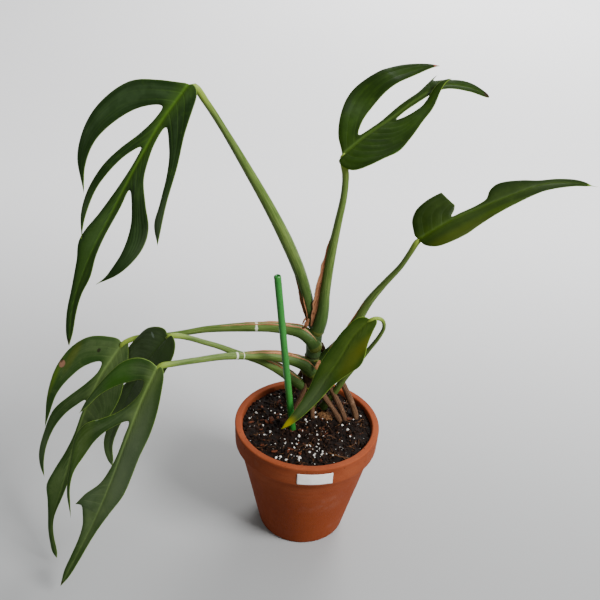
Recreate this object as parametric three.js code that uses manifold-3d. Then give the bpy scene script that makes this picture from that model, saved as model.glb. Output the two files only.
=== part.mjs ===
// A potted aroid with long split leaves, in millimetres, +Z up.
// The origin is the middle of the pot's underside, and the front of the pot looks along -Y.
import * as THREE from 'three';
import { mergeVertices } from 'three/addons/utils/BufferGeometryUtils.js';
import Module from 'manifold-3d';

const wasm = await Module();
wasm.setup();

// Driving dimensions
const GAP = 0.3;              // clearance between pieces that touch on the real plant

const POT_HEIGHT = 111;
const RIM_RADIUS = 65;
const COLLAR_HEIGHT = 19.5;
const COLLAR_FOOT_RADIUS = 64;
const BODY_TOP_RADIUS = 60.5;
const FOOT_RADIUS = 39.2;
const POT_WALL = 6;
const POT_FLOOR = 7;
const DRAIN_RADIUS = 7;
const POT_SEGMENTS = 44;

const SOIL_LEVEL = 104;
const SOIL_RELIEF = 1.3;
const SOIL_EDGE_DROP = 1.5;   // how much lower the soil lies at the wall
const SOIL_SEGMENTS = 40;
const SOIL_RINGS = 8;

const LABEL_WIDTH = 31;
const LABEL_HEIGHT = 12;
const LABEL_THICKNESS = 0.7;
const LABEL_TURN = 0.14;      // radians from the front towards +X

const BLADE_THICKNESS = 0.9;
const RIDGE_DEPTH = 1.8;      // how far the midrib stands out under the blade at its foot
const RIDGE_HALF_WIDTH = 2;
const RIB_STEP = 11;
const MARGIN_STEP = 8;
const INNER_STEP = 12;

const STALK_SIDES = 8;
const STALK_STEP = 9;

// The seven leaves. The rib runs from the stalk to the tip of the blade. The face is where the upper
// side looks at each end of the rib. Each half is a list of margin runs in flat millimetres, along
// the rib and out from it, and each run goes from one lobe tip to the next round the gap between.
// The stalk's points end in its half thickness there.
const LEAVES = {
  a: {
    rib: [[-99, -40, 425], [-118, -50, 398], [-134, -61, 369], [-149, -71, 340], [-164, -81, 310],
      [-175, -91, 278], [-179, -100, 246]],
    face: [[-0.15, -0.85, 0.55], [-0.25, -0.9, 0.35]],
    fold: 0.16,
    arch: 0.0045,
    left: [
      [[0, 0], [0, 7], [7, 19], [21, 35], [41, 45], [60, 47], [81, 41], [101, 24.5]],
      [[101, 24.5], [84, 32.5], [64, 34], [43, 27], [29, 17], [21, 6], [31, 5.5], [44, 9], [60, 16],
        [79, 22], [97, 23.5], [114, 19.5], [129, 11]],
      [[129, 11], [114, 15.5], [94, 18], [77, 15], [61, 9.5], [52, 3.5], [63, 3], [82, 4.5], [106, 8],
        [131, 12], [145, 8], [166, 4.5], [188, 4], [200, 2.8], [208, 0]],
    ],
    right: [
      [[0, 0], [-4, 3], [1, 10], [13, 15], [40, 24], [66, 31], [87, 36.5], [105, 41.5]],
      [[105, 41.5], [94, 32.5], [78, 29], [59, 23], [43, 15.5], [31, 5], [43, 4], [57, 6], [70, 10],
        [84, 20], [98, 30], [114, 33], [137, 27], [155, 12]],
      [[155, 12], [145, 17.5], [126, 21], [110, 19], [96, 14], [82, 4], [96, 4], [118, 3.5], [136, 4.5],
        [151, 6.5], [166, 4.5], [182, 3.5], [196, 2.5], [208, 0]],
    ],
  },
  b: {
    rib: [[13, 20, 359], [32, 38, 370], [52, 56, 379], [72, 73, 390], [93, 90, 397], [117, 104, 393],
      [139, 118, 382]],
    face: [[-0.15, -0.62, 0.78], [-0.15, -0.62, 0.78]],
    fold: 0.1,
    arch: 0.0045,
    overlap: { side: 1, beyond: 4.6, from: 81, to: 118.5, slide: 7, lift: 8 },
    left: [
      [[0, 0], [-6, 2], [-8.5, 9], [-5, 17], [7, 23], [20.5, 26], [36, 28], [52.5, 25], [71, 20], [83.5, 17],
        [95, 14.5], [106.5, 11.5], [118.5, 8]],
      [[118.5, 8], [106.5, 6], [94, 6.5], [80.5, 7.8], [68, 6.8], [58, 3.4], [67, 2.4], [80.5, 3], [97, 3.2],
        [114.5, 4], [129, 4.3], [142.5, 4], [158, 2.8], [170, 0]],
    ],
    right: [
      [[0, 0], [4, 5.5], [10.5, 14.5], [25, 27], [43.5, 39], [60, 43.5], [81.5, 42], [101, 35.5], [121, 20]],
      [[121, 20], [106.5, 22], [85.5, 25], [64, 24], [45.5, 19], [32, 12], [23.5, 4.5], [40, 3.2], [65, 5],
        [91, 5], [104, 7.5], [115.5, 11.5]],
      [[115.5, 11.5], [110, 7.5], [114.5, 6], [125, 4.8], [140.5, 4.2], [156, 2.8], [170, 0]],
    ],
  },
  c: {
    rib: [[78, 0, 300], [101, 9, 313], [125, 18, 322], [150, 26, 331], [175, 35, 338], [203.5, 48, 336],
      [230.6, 60.4, 328.7]],
    face: [[-0.2, -0.62, 0.75], [-0.2, -0.62, 0.75]],
    fold: 0.15,
    arch: 0.006,
    left: [
      [[0, 0], [1, 7], [8, 14], [20, 17], [35, 17], [48, 14.5], [68, 11], [87, 8.5], [106, 7], [125, 5.5],
        [145, 3.2], [156, 2], [165, 0]],
    ],
    right: [
      [[0, 0], [-1, 4], [1, 10], [4, 16], [11, 21.5], [21, 24], [35, 25]],
      [[35, 25], [36.5, 18.5], [39, 10]],
      [[39, 10], [36, 6], [32, 2.8], [42, 2.6], [55, 3.2], [64, 5], [69, 10], [76, 13], [85, 12.5], [97, 9],
        [110, 4.5], [128, 3.8], [146, 3.4], [158, 2.2], [165, 0]],
    ],
  },
  d: {
    rib: [[46, -4, 225], [33, -7, 208], [24, -11, 189], [14, -14, 170], [4, -17, 151], [-9, -21, 134],
      [-23, -24, 119]],
    face: [[-0.3, -0.85, 0.45], [-0.2, -0.9, 0.3]],
    fold: 0.2,
    arch: 0.006,
    left: [
      [[0, 0], [1, 4], [6, 8], [20, 10], [40, 12], [55, 12], [77, 9], [94, 6.5], [108, 4.5], [121, 2.4],
        [129, 0]],
    ],
    right: [
      [[0, 0], [-2, 3], [3, 8], [13, 14], [26, 17], [38, 18], [47, 14.5], [58, 10.5], [70, 7.5], [90, 5],
        [108, 3.8], [121, 2.4], [129, 0]],
    ],
  },
  e: {
    rib: [[-165, 8, 177], [-182, -8, 152], [-194, -23, 124], [-203, -37, 94], [-211, -52, 64],
      [-219, -67, 34], [-213, -82, 7]],
    face: [[-0.15, -0.75, 0.62], [-0.3, -0.9, 0.35]],
    fold: 0.12,
    arch: 0.0045,
    left: [
      [[0, 0], [-2, 5], [1, 14], [11, 28], [27, 37.5], [45, 41], [66, 38.5], [80, 35], [94, 31.5]],
      [[94, 31.5], [80, 30.5], [62, 29.5], [46, 24.5], [33, 17.5], [23, 6.5], [31, 4.5], [45, 9.5], [61, 19],
        [78, 28.5], [97, 31], [115, 29.5], [127, 24.5], [135, 18.5]],
      [[135, 18.5], [121, 22.5], [106, 24.5], [92, 23], [77, 17], [66, 10], [58, 3.6], [73, 2.8], [90, 3.4],
        [108, 6.5], [126, 11.5], [142, 14.5], [155, 8.5], [168, 4.2], [186, 3.6], [197, 3.4], [204, 0]],
    ],
    right: [
      [[0, 0], [-5, 2.5], [0, 7], [9, 13.5], [24, 21], [41, 24.5], [58, 23.5], [82, 17.5]],
      [[82, 17.5], [77, 13.5], [74, 8.5], [82, 6.2], [92, 6.4], [104, 6.4], [120, 5], [135, 4], [150, 3],
        [166, 1.6], [184, 1.4], [197, 1.6], [204, 0]],
    ],
  },
  f: {
    rib: [[-121, -16, 204], [-138, -12, 177], [-151, -7, 150], [-163, -3, 122], [-174, 1, 94],
      [-182, 6, 64], [-182, 10, 33]],
    face: [[-0.34, -0.6, 0.72], [0, -0.85, 0.5]],
    fold: 0.1,
    arch: 0.009,
    left: [
      [[0, 0], [-1, 6], [5, 14], [18, 22], [33, 24.8], [48, 25.5], [64, 24.2], [86, 20]],
      [[86, 20], [75, 17.5], [65, 12], [57, 4.5], [70, 7], [86, 10.5], [112, 10.5], [136, 6.5], [152, 6],
        [168, 4.5], [178, 2.6], [184, 0]],
    ],
    right: [
      [[0, 0], [-5, 3], [-5, 10], [1, 16], [12, 20], [32, 22], [56, 20], [80, 14.5], [100, 8.5], [120, 5],
        [139, 4], [160, 3], [176, 2.2], [184, 0]],
    ],
  },
  g: {
    rib: [[-124, -50, 196], [-137, -62, 166], [-148, -73, 135], [-159, -85, 103], [-171, -96, 73],
      [-185, -107, 43], [-200, -118, 13]],
    face: [[-0.1, -0.8, 0.6], [-0.2, -0.9, 0.35]],
    fold: 0.14,
    arch: 0.004,
    left: [
      [[0, 0], [-2, 8], [0, 18], [8, 27], [22, 34], [37.5, 39.5], [51.5, 43.5], [62.5, 45]],
      [[62.5, 45], [52.5, 39.5], [42.5, 35], [32.5, 27.5], [24, 19], [15, 6], [23, 4], [33.5, 6.5],
        [46.5, 14], [56.5, 24], [67.5, 36.5], [81, 41.5], [96, 40], [116, 35.5], [134.5, 29.5], [151.5, 19]],
      [[151.5, 19], [140.5, 24], [126.5, 29.5], [111, 32], [94, 29], [77, 24], [62.5, 15.5], [51.5, 4],
        [65.5, 3.2], [83, 3.4], [97, 5.2], [111, 8.5], [124.5, 16], [137.5, 20.5]],
      [[137.5, 20.5], [136, 15.5], [142.5, 11.5], [151.5, 7.5], [165.5, 5.2], [181, 4.4], [196, 3.4],
        [210, 0]],
    ],
    right: [
      [[0, 0], [-2, 3], [2, 7], [14, 11.5], [30.5, 15.5], [51.5, 17], [76, 15.5], [93, 15], [112, 14],
        [128.5, 10], [145.5, 6.5], [161.5, 4.8], [180, 4], [198, 2.8], [210, 0]],
    ],
  },
};

// The stalks, from the stem to the foot of the blade, with their half thickness as the fourth number
const STALKS = {
  a: [[2, 21, 190, 5.4], [-3, 18, 208, 5.8], [-7, 15, 228, 5.7], [-14, 10, 255, 5.6], [-27, 3, 290, 5.2],
    [-42, -6, 324, 4.3], [-58, -15, 357, 3.5], [-75, -26, 389, 2.6], [-88, -34, 411, 2.4],
    [-96.5, -38, 422.5, 2.1], [-99.5, -38.6, 421.5, 1.4]],
  b: [[5, 23, 189, 5.5], [5, 22, 204, 5.8], [8, 22, 223, 5.4], [10, 21, 250, 4.4], [12, 21, 275, 3.8],
    [14, 21, 300, 3.3], [17, 21, 324, 2.8], [17, 21, 342, 2.7], [14, 21, 357, 2.3]],
  c: [[4, 22, 158, 5.2], [16, 21, 172, 5.2], [28, 18, 191, 4.8], [37, 15, 212, 4.4], [45, 12, 233, 3.7],
    [56, 9, 253, 2.8], [67, 5, 272, 2.3], [73, 3, 286, 2.2], [77.5, 1.6, 297, 2.1],
    [81, 2.6, 299.6, 1.4]],
  d: [[8, 25, 92, 4.4], [12, 24, 105, 4.2], [18, 21, 120, 3.5], [24, 18, 134, 3.1], [31, 15, 151, 2.8],
    [41, 11, 171, 2.4], [49, 7, 188, 2], [56, 3, 204, 1.8], [59, 1, 215, 1.6], [57, -1, 223, 1.5],
    [52, -3, 226, 1.5], [47, -4, 225, 1.5]],
  e: [[3, 22, 176, 5.2], [-9, 21, 190, 5.6], [-21, 21, 194, 4.9], [-38, 20, 196, 4.2], [-58, 18, 196, 4],
    [-78, 16, 195, 3.4], [-94, 15, 193, 2.9], [-110, 13, 190, 2.5], [-125, 12, 187, 2.3],
    [-141, 13, 184, 2.2], [-155, 12.5, 181, 2.1], [-165, 8, 177, 2]],
  f: [[2, 22, 128, 5.4], [-15, 18, 144, 5], [-31, 14, 158, 4.2], [-46, 10, 168, 3.6], [-62, 5, 176, 3],
    [-80, -1, 187, 2.4], [-92, -5, 193, 2.3], [-104, -9, 199, 2.2], [-114, -13, 203, 2.1],
    [-121, -15, 203, 2]],
  g: [[3, 22, 150, 5.3], [-8, 18, 163, 5.4], [-24, 11, 171, 4.6], [-40, 4, 177, 4], [-56, -5, 182, 3.5],
    [-75, -16, 187, 2.9], [-94, -29, 191, 2.6], [-112, -42, 195, 2.4], [-122, -47.6, 195.6, 2.1],
    [-125.5, -49, 192.5, 1.4]],
};

// The leaning stem, with a bead at each leaf scar
const STEM = [[-1, 24, 88, 6.5], [-1, 24, 100, 7.6], [0, 24, 118, 7.8], [2, 23, 140, 7.8], [3, 23, 158, 7.6],
  [4, 23, 172, 7], [4, 22, 184, 6.6], [3, 22, 194, 5.4], [2, 22, 199, 4]];
const STEM_SIDES = 14;
const STEM_RINGS = [112, 124, 136, 148, 161, 177, 189];
const RING_HEIGHT = 0.6;

// Brown roots that leave the stem and go down into the soil
const ROOTS = {
  root_1: [[8, 26, 178, 2], [13, 24, 167, 2.3], [21, 21, 154, 2.6], [29, 19, 143, 2.7], [37, 16.5, 128, 3],
    [43, 14, 114, 2.7], [47, 12, 99, 2.2]],
  root_2: [[8, 25, 150, 2.2], [15, 22, 144, 2.6], [23, 17, 130, 2.7], [32, 12, 114, 2.4], [38, 9, 98, 2]],
  root_3: [[5, 20, 138, 2.2], [11, 17, 132, 2.5], [19, 12.5, 123, 2.6], [29, 7, 110, 2.3], [36, 3, 96, 2]],
  root_4: [[0, 28, 163, 2], [-5, 33, 148, 2.3], [-10, 37, 131, 2.4], [-15, 40, 116, 2.4], [-17, 43, 98, 2.1]],
  root_5: [[-2, 19, 143, 2], [-6, 14.5, 130, 2.3], [-11, 12, 117, 2.3], [-15, 9, 108, 2.1],
    [-18, 7, 96, 1.8]],
  root_6: [[3, 17, 128, 2], [4, 12, 118, 2.3], [5, 8.5, 109, 2], [6, 6, 97, 1.7]],
  root_7: [[6, 30, 168, 2], [10, 38, 150, 2.4], [13, 44, 128, 2.5], [15, 48, 99, 2.2]],
};
const ROOT_SIDES = 7;

// Dry papery wings of the stalk sheaths: the stalk that each grows on, the stretch of it from 0 to 1,
// the way the wing points, and how far it stands out
const SHEATHS = {
  sheath_a: { stalk: 'a', from: 0.04, to: 0.3, wide: [0.75, -0.65, 0.1], reach: 2.4 },
  sheath_b: { stalk: 'b', from: 0.1, to: 0.52, wide: [-0.95, -0.3, 0.1], reach: 3.6 },
  sheath_c: { stalk: 'c', from: 0.14, to: 0.46, wide: [-0.7, -0.35, 0.6], reach: 2.6 },
  sheath_e: { stalk: 'e', from: 0.1, to: 0.52, wide: [0, -0.25, 1], reach: 1.7 },
  sheath_f: { stalk: 'f', from: 0.1, to: 0.42, wide: [0.3, -0.3, 0.9], reach: 1.8 },
  sheath_g: { stalk: 'g', from: 0.08, to: 0.5, wide: [0.1, -0.3, 0.95], reach: 1.9 },
};
const SHEATH_THICKNESS = 0.7;

// The dry fibrous husk at the foot of the plant
const HUSK = [[10, 15, 98, 3], [14, 13.6, 103, 5], [19, 12, 103, 4.4], [24, 10.5, 100, 2.6]];
const HUSK_SIDES = 8;

// The round support stake, with a small bevel at its top
const STAKE = [[-10, -7.4, 88, 3], [-12, -7.8, 103, 3], [-22.3, -9.9, 184, 3], [-32.2, -11.98, 265.2, 3],
  [-32.3, -12, 266, 2.2]];
const STAKE_SIDES = 12;

// Finishes
const LEAF_GREEN = { color: 0x2f4a20, roughness: 0.42, metalness: 0 };
const YOUNG_GREEN = { color: 0x4a5a1c, roughness: 0.45, metalness: 0 };
const STALK_GREEN = { color: 0x6b8440, roughness: 0.45, metalness: 0 };
const STEM_GREEN = { color: 0x5a6b3a, roughness: 0.6, metalness: 0 };
const ROOT_BROWN = { color: 0x5c4036, roughness: 0.8, metalness: 0 };
const SHEATH_TAN = { color: 0x9a6a48, roughness: 0.75, metalness: 0 };
const HUSK_BROWN = { color: 0x6e4a30, roughness: 0.9, metalness: 0 };
const TERRACOTTA = { color: 0xa5532f, roughness: 0.85, metalness: 0 };
const SOIL_BLACK = { color: 0x1f1712, roughness: 0.95, metalness: 0 };
const LABEL_WHITE = { color: 0xe4e2df, roughness: 0.6, metalness: 0 };
const STAKE_GREEN = { color: 0x2f8a45, roughness: 0.25, metalness: 0 };

const plant = new THREE.Group();

function addPiece(name, geometry, finish) {
  const mesh = new THREE.Mesh(geometry, new THREE.MeshStandardMaterial(finish));
  mesh.name = name;
  plant.add(mesh);
}

// Solids and booleans
function welded(geometry) {
  const bare = geometry.clone();
  bare.deleteAttribute('normal');
  bare.deleteAttribute('uv');
  return mergeVertices(bare);
}

function toSolid(geometry) {
  const shape = welded(geometry);
  return new wasm.Manifold(new wasm.Mesh({
    numProp: 3,
    vertProperties: new Float32Array(shape.attributes.position.array),
    triVerts: new Uint32Array(shape.index.array),
  }));
}

function toGeometry(solid) {
  const mesh = solid.getMesh();
  const geometry = new THREE.BufferGeometry();
  geometry.setAttribute('position', new THREE.BufferAttribute(new Float32Array(mesh.vertProperties), 3));
  geometry.setIndex(new THREE.BufferAttribute(new Uint32Array(mesh.triVerts), 1));
  return geometry;
}

function largestPart(solid) {
  const parts = solid.decompose();
  return parts.reduce((best, part) => (part.volume() > best.volume() ? part : best));
}

function cut(geometry, tools) {
  const rest = tools.reduce((solid, tool) => solid.subtract(toSolid(tool)), toSolid(geometry));
  return toGeometry(largestPart(rest));
}

// Smooth paths and round bars that follow them
const vec = (p) => new THREE.Vector3(p[0], p[1], p[2]);
const smooth = (points) => new THREE.CatmullRomCurve3(points.map(vec), false, 'centripetal');

// Reads a list of values at a place from 0 to 1 along it, with a soft blend between neighbours
function along(values, t) {
  const place = THREE.MathUtils.clamp(t, 0, 1) * (values.length - 1);
  const low = Math.min(Math.floor(place), values.length - 2);
  return THREE.MathUtils.lerp(values[low], values[low + 1], place - low);
}

// A closed bar round a path: the section is an ellipse, as wide as the fourth number of each point
// on its first axis and flat times that, or a fixed half height, on its second
function bar(points, { sides, step, grow = 0, half = null, extra = () => 0, wide = null }) {
  const path = smooth(points);
  const steps = Math.max(4, Math.round(path.getLength() / step));
  const radii = points.map((p) => p[3]);
  const frames = path.computeFrenetFrames(steps, false);
  const shape = welded(new THREE.CylinderGeometry(1, 1, 1, sides, steps));
  const position = shape.attributes.position;
  for (let i = 0; i < position.count; i += 1) {
    const t = position.getY(i) + 0.5;
    const ring = Math.round(t * steps);
    const centre = path.getPoint(ring / steps);
    const tangent = path.getTangent(ring / steps);
    const first = wide ? wide.clone() : frames.normals[ring].clone();
    first.addScaledVector(tangent, -first.dot(tangent)).normalize();
    const second = tangent.clone().cross(first).normalize();
    const radius = along(radii, ring / steps) + extra(centre) + grow;
    const height = half === null ? radius : half + grow;
    centre.addScaledVector(first, position.getZ(i) * radius);
    centre.addScaledVector(second, position.getX(i) * height);
    position.setXYZ(i, centre.x, centre.y, centre.z);
  }
  return shape;
}

// Pot, soil and label
const collarFoot = POT_HEIGHT - COLLAR_HEIGHT;
const innerFoot = FOOT_RADIUS - POT_WALL + 1;
const innerRim = RIM_RADIUS - POT_WALL;
const innerRadius = (z) => THREE.MathUtils.mapLinear(z, POT_FLOOR, POT_HEIGHT, innerFoot, innerRim);

function latheUp(profile, segments) {
  const lathe = new THREE.LatheGeometry(profile.map(([r, z]) => new THREE.Vector2(r, z)), segments);
  return welded(lathe.rotateX(Math.PI / 2));
}

function potGeometry() {
  const profile = [
    [DRAIN_RADIUS, 0], [FOOT_RADIUS - 1.5, 0], [FOOT_RADIUS, 1.5],
    [BODY_TOP_RADIUS, collarFoot - 1.5], [COLLAR_FOOT_RADIUS - 0.8, collarFoot - 0.8],
    [COLLAR_FOOT_RADIUS, collarFoot + 0.8], [RIM_RADIUS, POT_HEIGHT - 2.5],
    [RIM_RADIUS - 1, POT_HEIGHT - 0.7], [RIM_RADIUS - 3, POT_HEIGHT],
    [innerRim + 1, POT_HEIGHT - 0.6], [innerRim, POT_HEIGHT - 2.2],
    [innerFoot, POT_FLOOR], [DRAIN_RADIUS, POT_FLOOR], [DRAIN_RADIUS, 0],
  ];
  return latheUp(profile, POT_SEGMENTS);
}

// The lumps of the soil, by a sum of waves that fade at the wall
function soilLump(x, y) {
  const waves = Math.sin(0.21 * x + 1.3) * Math.cos(0.17 * y - 0.4) + 0.6 * Math.sin(0.43 * x - 0.37 * y);
  const mound = 1.6 * Math.exp(-((x - 4) ** 2 + (y - 22) ** 2) / 500);
  return SOIL_RELIEF * waves + mound;
}

function soilGeometry() {
  const radius = (z) => innerRadius(z) - GAP;
  const foot = POT_FLOOR + GAP;
  const profile = [[0, foot], [radius(foot), foot]];
  for (let ring = 0; ring <= SOIL_RINGS; ring += 1) {
    const reach = radius(SOIL_LEVEL - SOIL_EDGE_DROP) * (1 - ring / SOIL_RINGS);
    profile.push([reach, SOIL_LEVEL]);
  }
  const body = latheUp(profile, SOIL_SEGMENTS);
  const position = body.attributes.position;
  for (let i = 0; i < position.count; i += 1) {
    if (position.getZ(i) > foot + 1) {
      const x = position.getX(i);
      const y = position.getY(i);
      const fade = THREE.MathUtils.smoothstep(radius(SOIL_LEVEL) - Math.hypot(x, y), 0, 12);
      position.setZ(i, SOIL_LEVEL - SOIL_EDGE_DROP + fade * (SOIL_EDGE_DROP + soilLump(x, y)));
    }
  }
  return body;
}

function labelGeometry() {
  const lean = Math.atan((RIM_RADIUS - COLLAR_FOOT_RADIUS) / COLLAR_HEIGHT);
  const middle = (RIM_RADIUS + COLLAR_FOOT_RADIUS) / 2;
  const plate = new THREE.BoxGeometry(LABEL_WIDTH, LABEL_THICKNESS, LABEL_HEIGHT, 8, 1, 1);
  const position = plate.attributes.position;
  for (let i = 0; i < position.count; i += 1) {
    const angle = position.getX(i) / middle;
    const up = position.getZ(i);
    const radius = middle + GAP + LABEL_THICKNESS / 2 - position.getY(i) + up * Math.tan(lean);
    position.setXYZ(i, radius * Math.sin(angle), -radius * Math.cos(angle), up);
  }
  plate.rotateZ(LABEL_TURN);
  return plate.translate(0, 0, POT_HEIGHT - COLLAR_HEIGHT / 2 - 1.2);
}

// Even triangles inside a flat outline: ears are cut first, then the inner points are added, and an
// edge is turned wherever that makes its two triangles more even
function evenTriangles(outline, inner) {
  const points = [...outline, ...inner];
  const faces = THREE.ShapeUtils.triangulateShape(outline.map(([x, y]) => new THREE.Vector2(x, y)), [])
    .map((face) => [...face]);
  const owner = new Map();
  const key = (a, b) => a * points.length + b;
  const link = (f) => faces[f].forEach((a, i) => owner.set(key(a, faces[f][(i + 1) % 3]), f));
  const area = (a, b, c) => (points[b][0] - points[a][0]) * (points[c][1] - points[a][1])
    - (points[b][1] - points[a][1]) * (points[c][0] - points[a][0]);
  const third = (f, a, b) => faces[f].find((p) => p !== a && p !== b);
  const inCircle = (a, b, c, d) => {
    const rows = [a, b, c].map((p) => [points[p][0] - points[d][0], points[p][1] - points[d][1]]);
    const [[ax, ay], [bx, by], [cx, cy]] = rows;
    return (ax * ax + ay * ay) * (bx * cy - cx * by) - (bx * bx + by * by) * (ax * cy - cx * ay)
      + (cx * cx + cy * cy) * (ax * by - bx * ay) > 1e-6;
  };
  const settle = (a, b) => {
    const f = owner.get(key(a, b));
    const g = owner.get(key(b, a));
    if (f === undefined || g === undefined) return;
    const c = third(f, a, b);
    const d = third(g, a, b);
    if (!inCircle(a, b, c, d)) return;
    owner.delete(key(a, b));
    owner.delete(key(b, a));
    faces[f] = [a, d, c];
    faces[g] = [d, b, c];
    link(f);
    link(g);
    [[a, d], [d, b], [b, c], [c, a]].forEach(([p, q]) => settle(p, q));
  };
  faces.forEach((face, f) => link(f));
  [...owner.keys()].forEach((edge) => {
    const a = Math.floor(edge / points.length);
    const b = edge % points.length;
    if (owner.has(edge)) settle(a, b);
  });
  inner.forEach((point, i) => {
    const p = outline.length + i;
    const f = faces.findIndex(([a, b, c]) => Math.min(area(a, b, p), area(b, c, p), area(c, a, p)) > 1e-3);
    if (f < 0) return;
    const [a, b, c] = faces[f];
    faces[f] = [a, b, p];
    faces.push([b, c, p], [c, a, p]);
    link(f);
    link(faces.length - 2);
    link(faces.length - 1);
    [[a, b], [b, c], [c, a]].forEach(([q, r]) => settle(q, r));
  });
  return { points, faces };
}

// Flat helpers for the leaf outlines
function insideOutline(x, y, outline) {
  let inside = false;
  outline.forEach(([ax, ay], i) => {
    const [bx, by] = outline[(i + 1) % outline.length];
    if ((ay > y) !== (by > y) && x < ((bx - ax) * (y - ay)) / (by - ay) + ax) inside = !inside;
  });
  return inside;
}

function distanceToOutline(x, y, outline) {
  return Math.min(...outline.map(([ax, ay], i) => {
    const [bx, by] = outline[(i + 1) % outline.length];
    const t = ((x - ax) * (bx - ax) + (y - ay) * (by - ay)) / ((bx - ax) ** 2 + (by - ay) ** 2);
    const near = THREE.MathUtils.clamp(t, 0, 1);
    return Math.hypot(x - ax - near * (bx - ax), y - ay - near * (by - ay));
  }));
}

// One smooth run of margin, with more points where it turns
function marginRun(run) {
  const path = smooth(run.map(([u, v]) => [u, v, 0]));
  const spans = run.length - 1;
  const points = [];
  for (let span = 0; span < spans; span += 1) {
    const length = Math.hypot(run[span + 1][0] - run[span][0], run[span + 1][1] - run[span][1]);
    const before = path.getTangent(span / spans);
    const after = path.getTangent((span + 1) / spans);
    const turn = before.angleTo(after);
    const count = Math.max(1, Math.round(length / MARGIN_STEP + turn * 0.9));
    for (let i = 0; i < count; i += 1) {
      const point = path.getPoint((span + i / count) / spans);
      points.push([point.x, point.y]);
    }
  }
  return points;
}

// The bent sheet of a leaf: a place along the rib and out from it becomes a place in space
function leafSheet(leaf) {
  const rib = smooth(leaf.rib);
  rib.arcLengthDivisions = 400;
  const length = rib.getLength();
  const [faceFoot, faceTip] = leaf.face.map(vec);
  return (u, v) => {
    const t = THREE.MathUtils.clamp(u / length, 0, 1);
    const tangent = rib.getTangentAt(t);
    const centre = rib.getPointAt(t).addScaledVector(tangent, u - t * length);
    const normal = faceFoot.clone().lerp(faceTip, t);
    normal.addScaledVector(tangent, -normal.dot(tangent)).normalize();
    const side = tangent.clone().cross(normal);
    const reach = Math.abs(v);
    const over = leaf.overlap && Math.sign(v) === leaf.overlap.side && reach > leaf.overlap.beyond
      && u < leaf.overlap.to + 0.5 ? THREE.MathUtils.smoothstep(u, leaf.overlap.from, leaf.overlap.to) : 0;
    const bend = leaf.fold - leaf.arch * reach;
    const out = (Math.sin(leaf.fold) - Math.sin(bend)) / leaf.arch;
    const up = (Math.cos(bend) - Math.cos(leaf.fold)) / leaf.arch;
    const shift = over > 0 ? over * leaf.overlap.slide : 0;
    const lift = over > 0 ? over * leaf.overlap.lift : 0;
    const point = centre.addScaledVector(side, Math.sign(v) * (out - shift));
    return { point: point.addScaledVector(normal, up + lift + leafWave(u, v)), normal };
  };
}

// Gentle waves that grow towards the margin
function leafWave(u, v) {
  const reach = Math.min(Math.abs(v) / 40, 1);
  return 1.6 * reach * Math.sin(u / 9 + 0.7 * Math.sign(v)) * Math.sin(Math.abs(v) / 14);
}

function ribLength(leaf) {
  return smooth(leaf.rib).getLength();
}

function halfOutline(runs, stations, length) {
  const margin = runs.flatMap(marginRun).slice(1);
  const edge = margin.map(([u, v]) => [Math.min(u, length - 0.5), Math.max(v, 0.6)]);
  return [...stations, ...edge.reverse()];
}

function innerPoints(outline, stations) {
  const points = [];
  stations.slice(1, -1).forEach(([u]) => {
    if (insideOutline(u, RIDGE_HALF_WIDTH, outline)
      && distanceToOutline(u, RIDGE_HALF_WIDTH, outline) > 0.7 * RIDGE_HALF_WIDTH) {
      points.push([u, RIDGE_HALF_WIDTH]);
    }
  });
  const rowStep = INNER_STEP * 0.87;
  for (let row = 0; row * rowStep < 60; row += 1) {
    for (let u = -12 + (row % 2) * INNER_STEP * 0.5; u < 230; u += INNER_STEP) {
      const v = RIDGE_HALF_WIDTH + 4 + row * rowStep;
      if (insideOutline(u, v, outline) && distanceToOutline(u, v, outline) > 0.4 * INNER_STEP) {
        points.push([u, v]);
      }
    }
  }
  return points;
}

// A blade of even thickness with its midrib standing out underneath
function bladeGeometry(leaf, grow = 0) {
  const length = ribLength(leaf);
  const count = Math.round(length / RIB_STEP);
  const stations = Array.from({ length: count + 1 }, (_, i) => [(i / count) * length, 0]);
  const sheet = leafSheet(leaf);
  const flat = [];
  const faces = [];
  const halves = [{ runs: leaf.left, sign: 1 }, { runs: leaf.right, sign: -1 }];
  halves.forEach(({ runs, sign }, half) => {
    const outline = halfOutline(runs, stations, length);
    const mesh = evenTriangles(outline, innerPoints(outline, stations));
    const used = [...new Set(mesh.faces.flat())].sort((p, q) => p - q);
    const place = new Map();
    used.forEach((p) => {
      if (half === 1 && p < stations.length) {
        place.set(p, p);
      } else {
        place.set(p, flat.length);
        flat.push([mesh.points[p][0], sign * mesh.points[p][1]]);
      }
    });
    mesh.faces.forEach(([a, b, c]) => {
      const face = [place.get(a), place.get(b), place.get(c)];
      faces.push(sign > 0 ? face.reverse() : face);
    });
  });
  return thickened(flat, faces, sheet, length, grow);
}

function thickened(flat, faces, sheet, length, grow) {
  const top = [];
  const bottom = [];
  flat.forEach(([u, v]) => {
    const { point, normal } = sheet(u, v);
    const onRib = Math.abs(v) < 1e-6 && u > 0 && u < length;
    const ridge = onRib ? RIDGE_DEPTH * (1 - 0.8 * (u / length)) : 0;
    const half = BLADE_THICKNESS / 2 + grow;
    top.push(point.clone().addScaledVector(normal, half));
    bottom.push(point.clone().addScaledVector(normal, -half - ridge));
  });
  const count = flat.length;
  const edges = new Set(faces.flatMap(([a, b, c]) => [`${a} ${b}`, `${b} ${c}`, `${c} ${a}`]));
  const index = [];
  faces.forEach(([a, b, c]) => index.push(a, b, c, count + c, count + b, count + a));
  edges.forEach((edge) => {
    const [a, b] = edge.split(' ').map(Number);
    if (!edges.has(`${b} ${a}`)) index.push(b, a, count + a, b, count + a, count + b);
  });
  const geometry = new THREE.BufferGeometry();
  const array = new Float32Array([...top, ...bottom].flatMap((p) => [p.x, p.y, p.z]));
  geometry.setAttribute('position', new THREE.BufferAttribute(array, 3));
  geometry.setIndex(index);
  return geometry;
}

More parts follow.
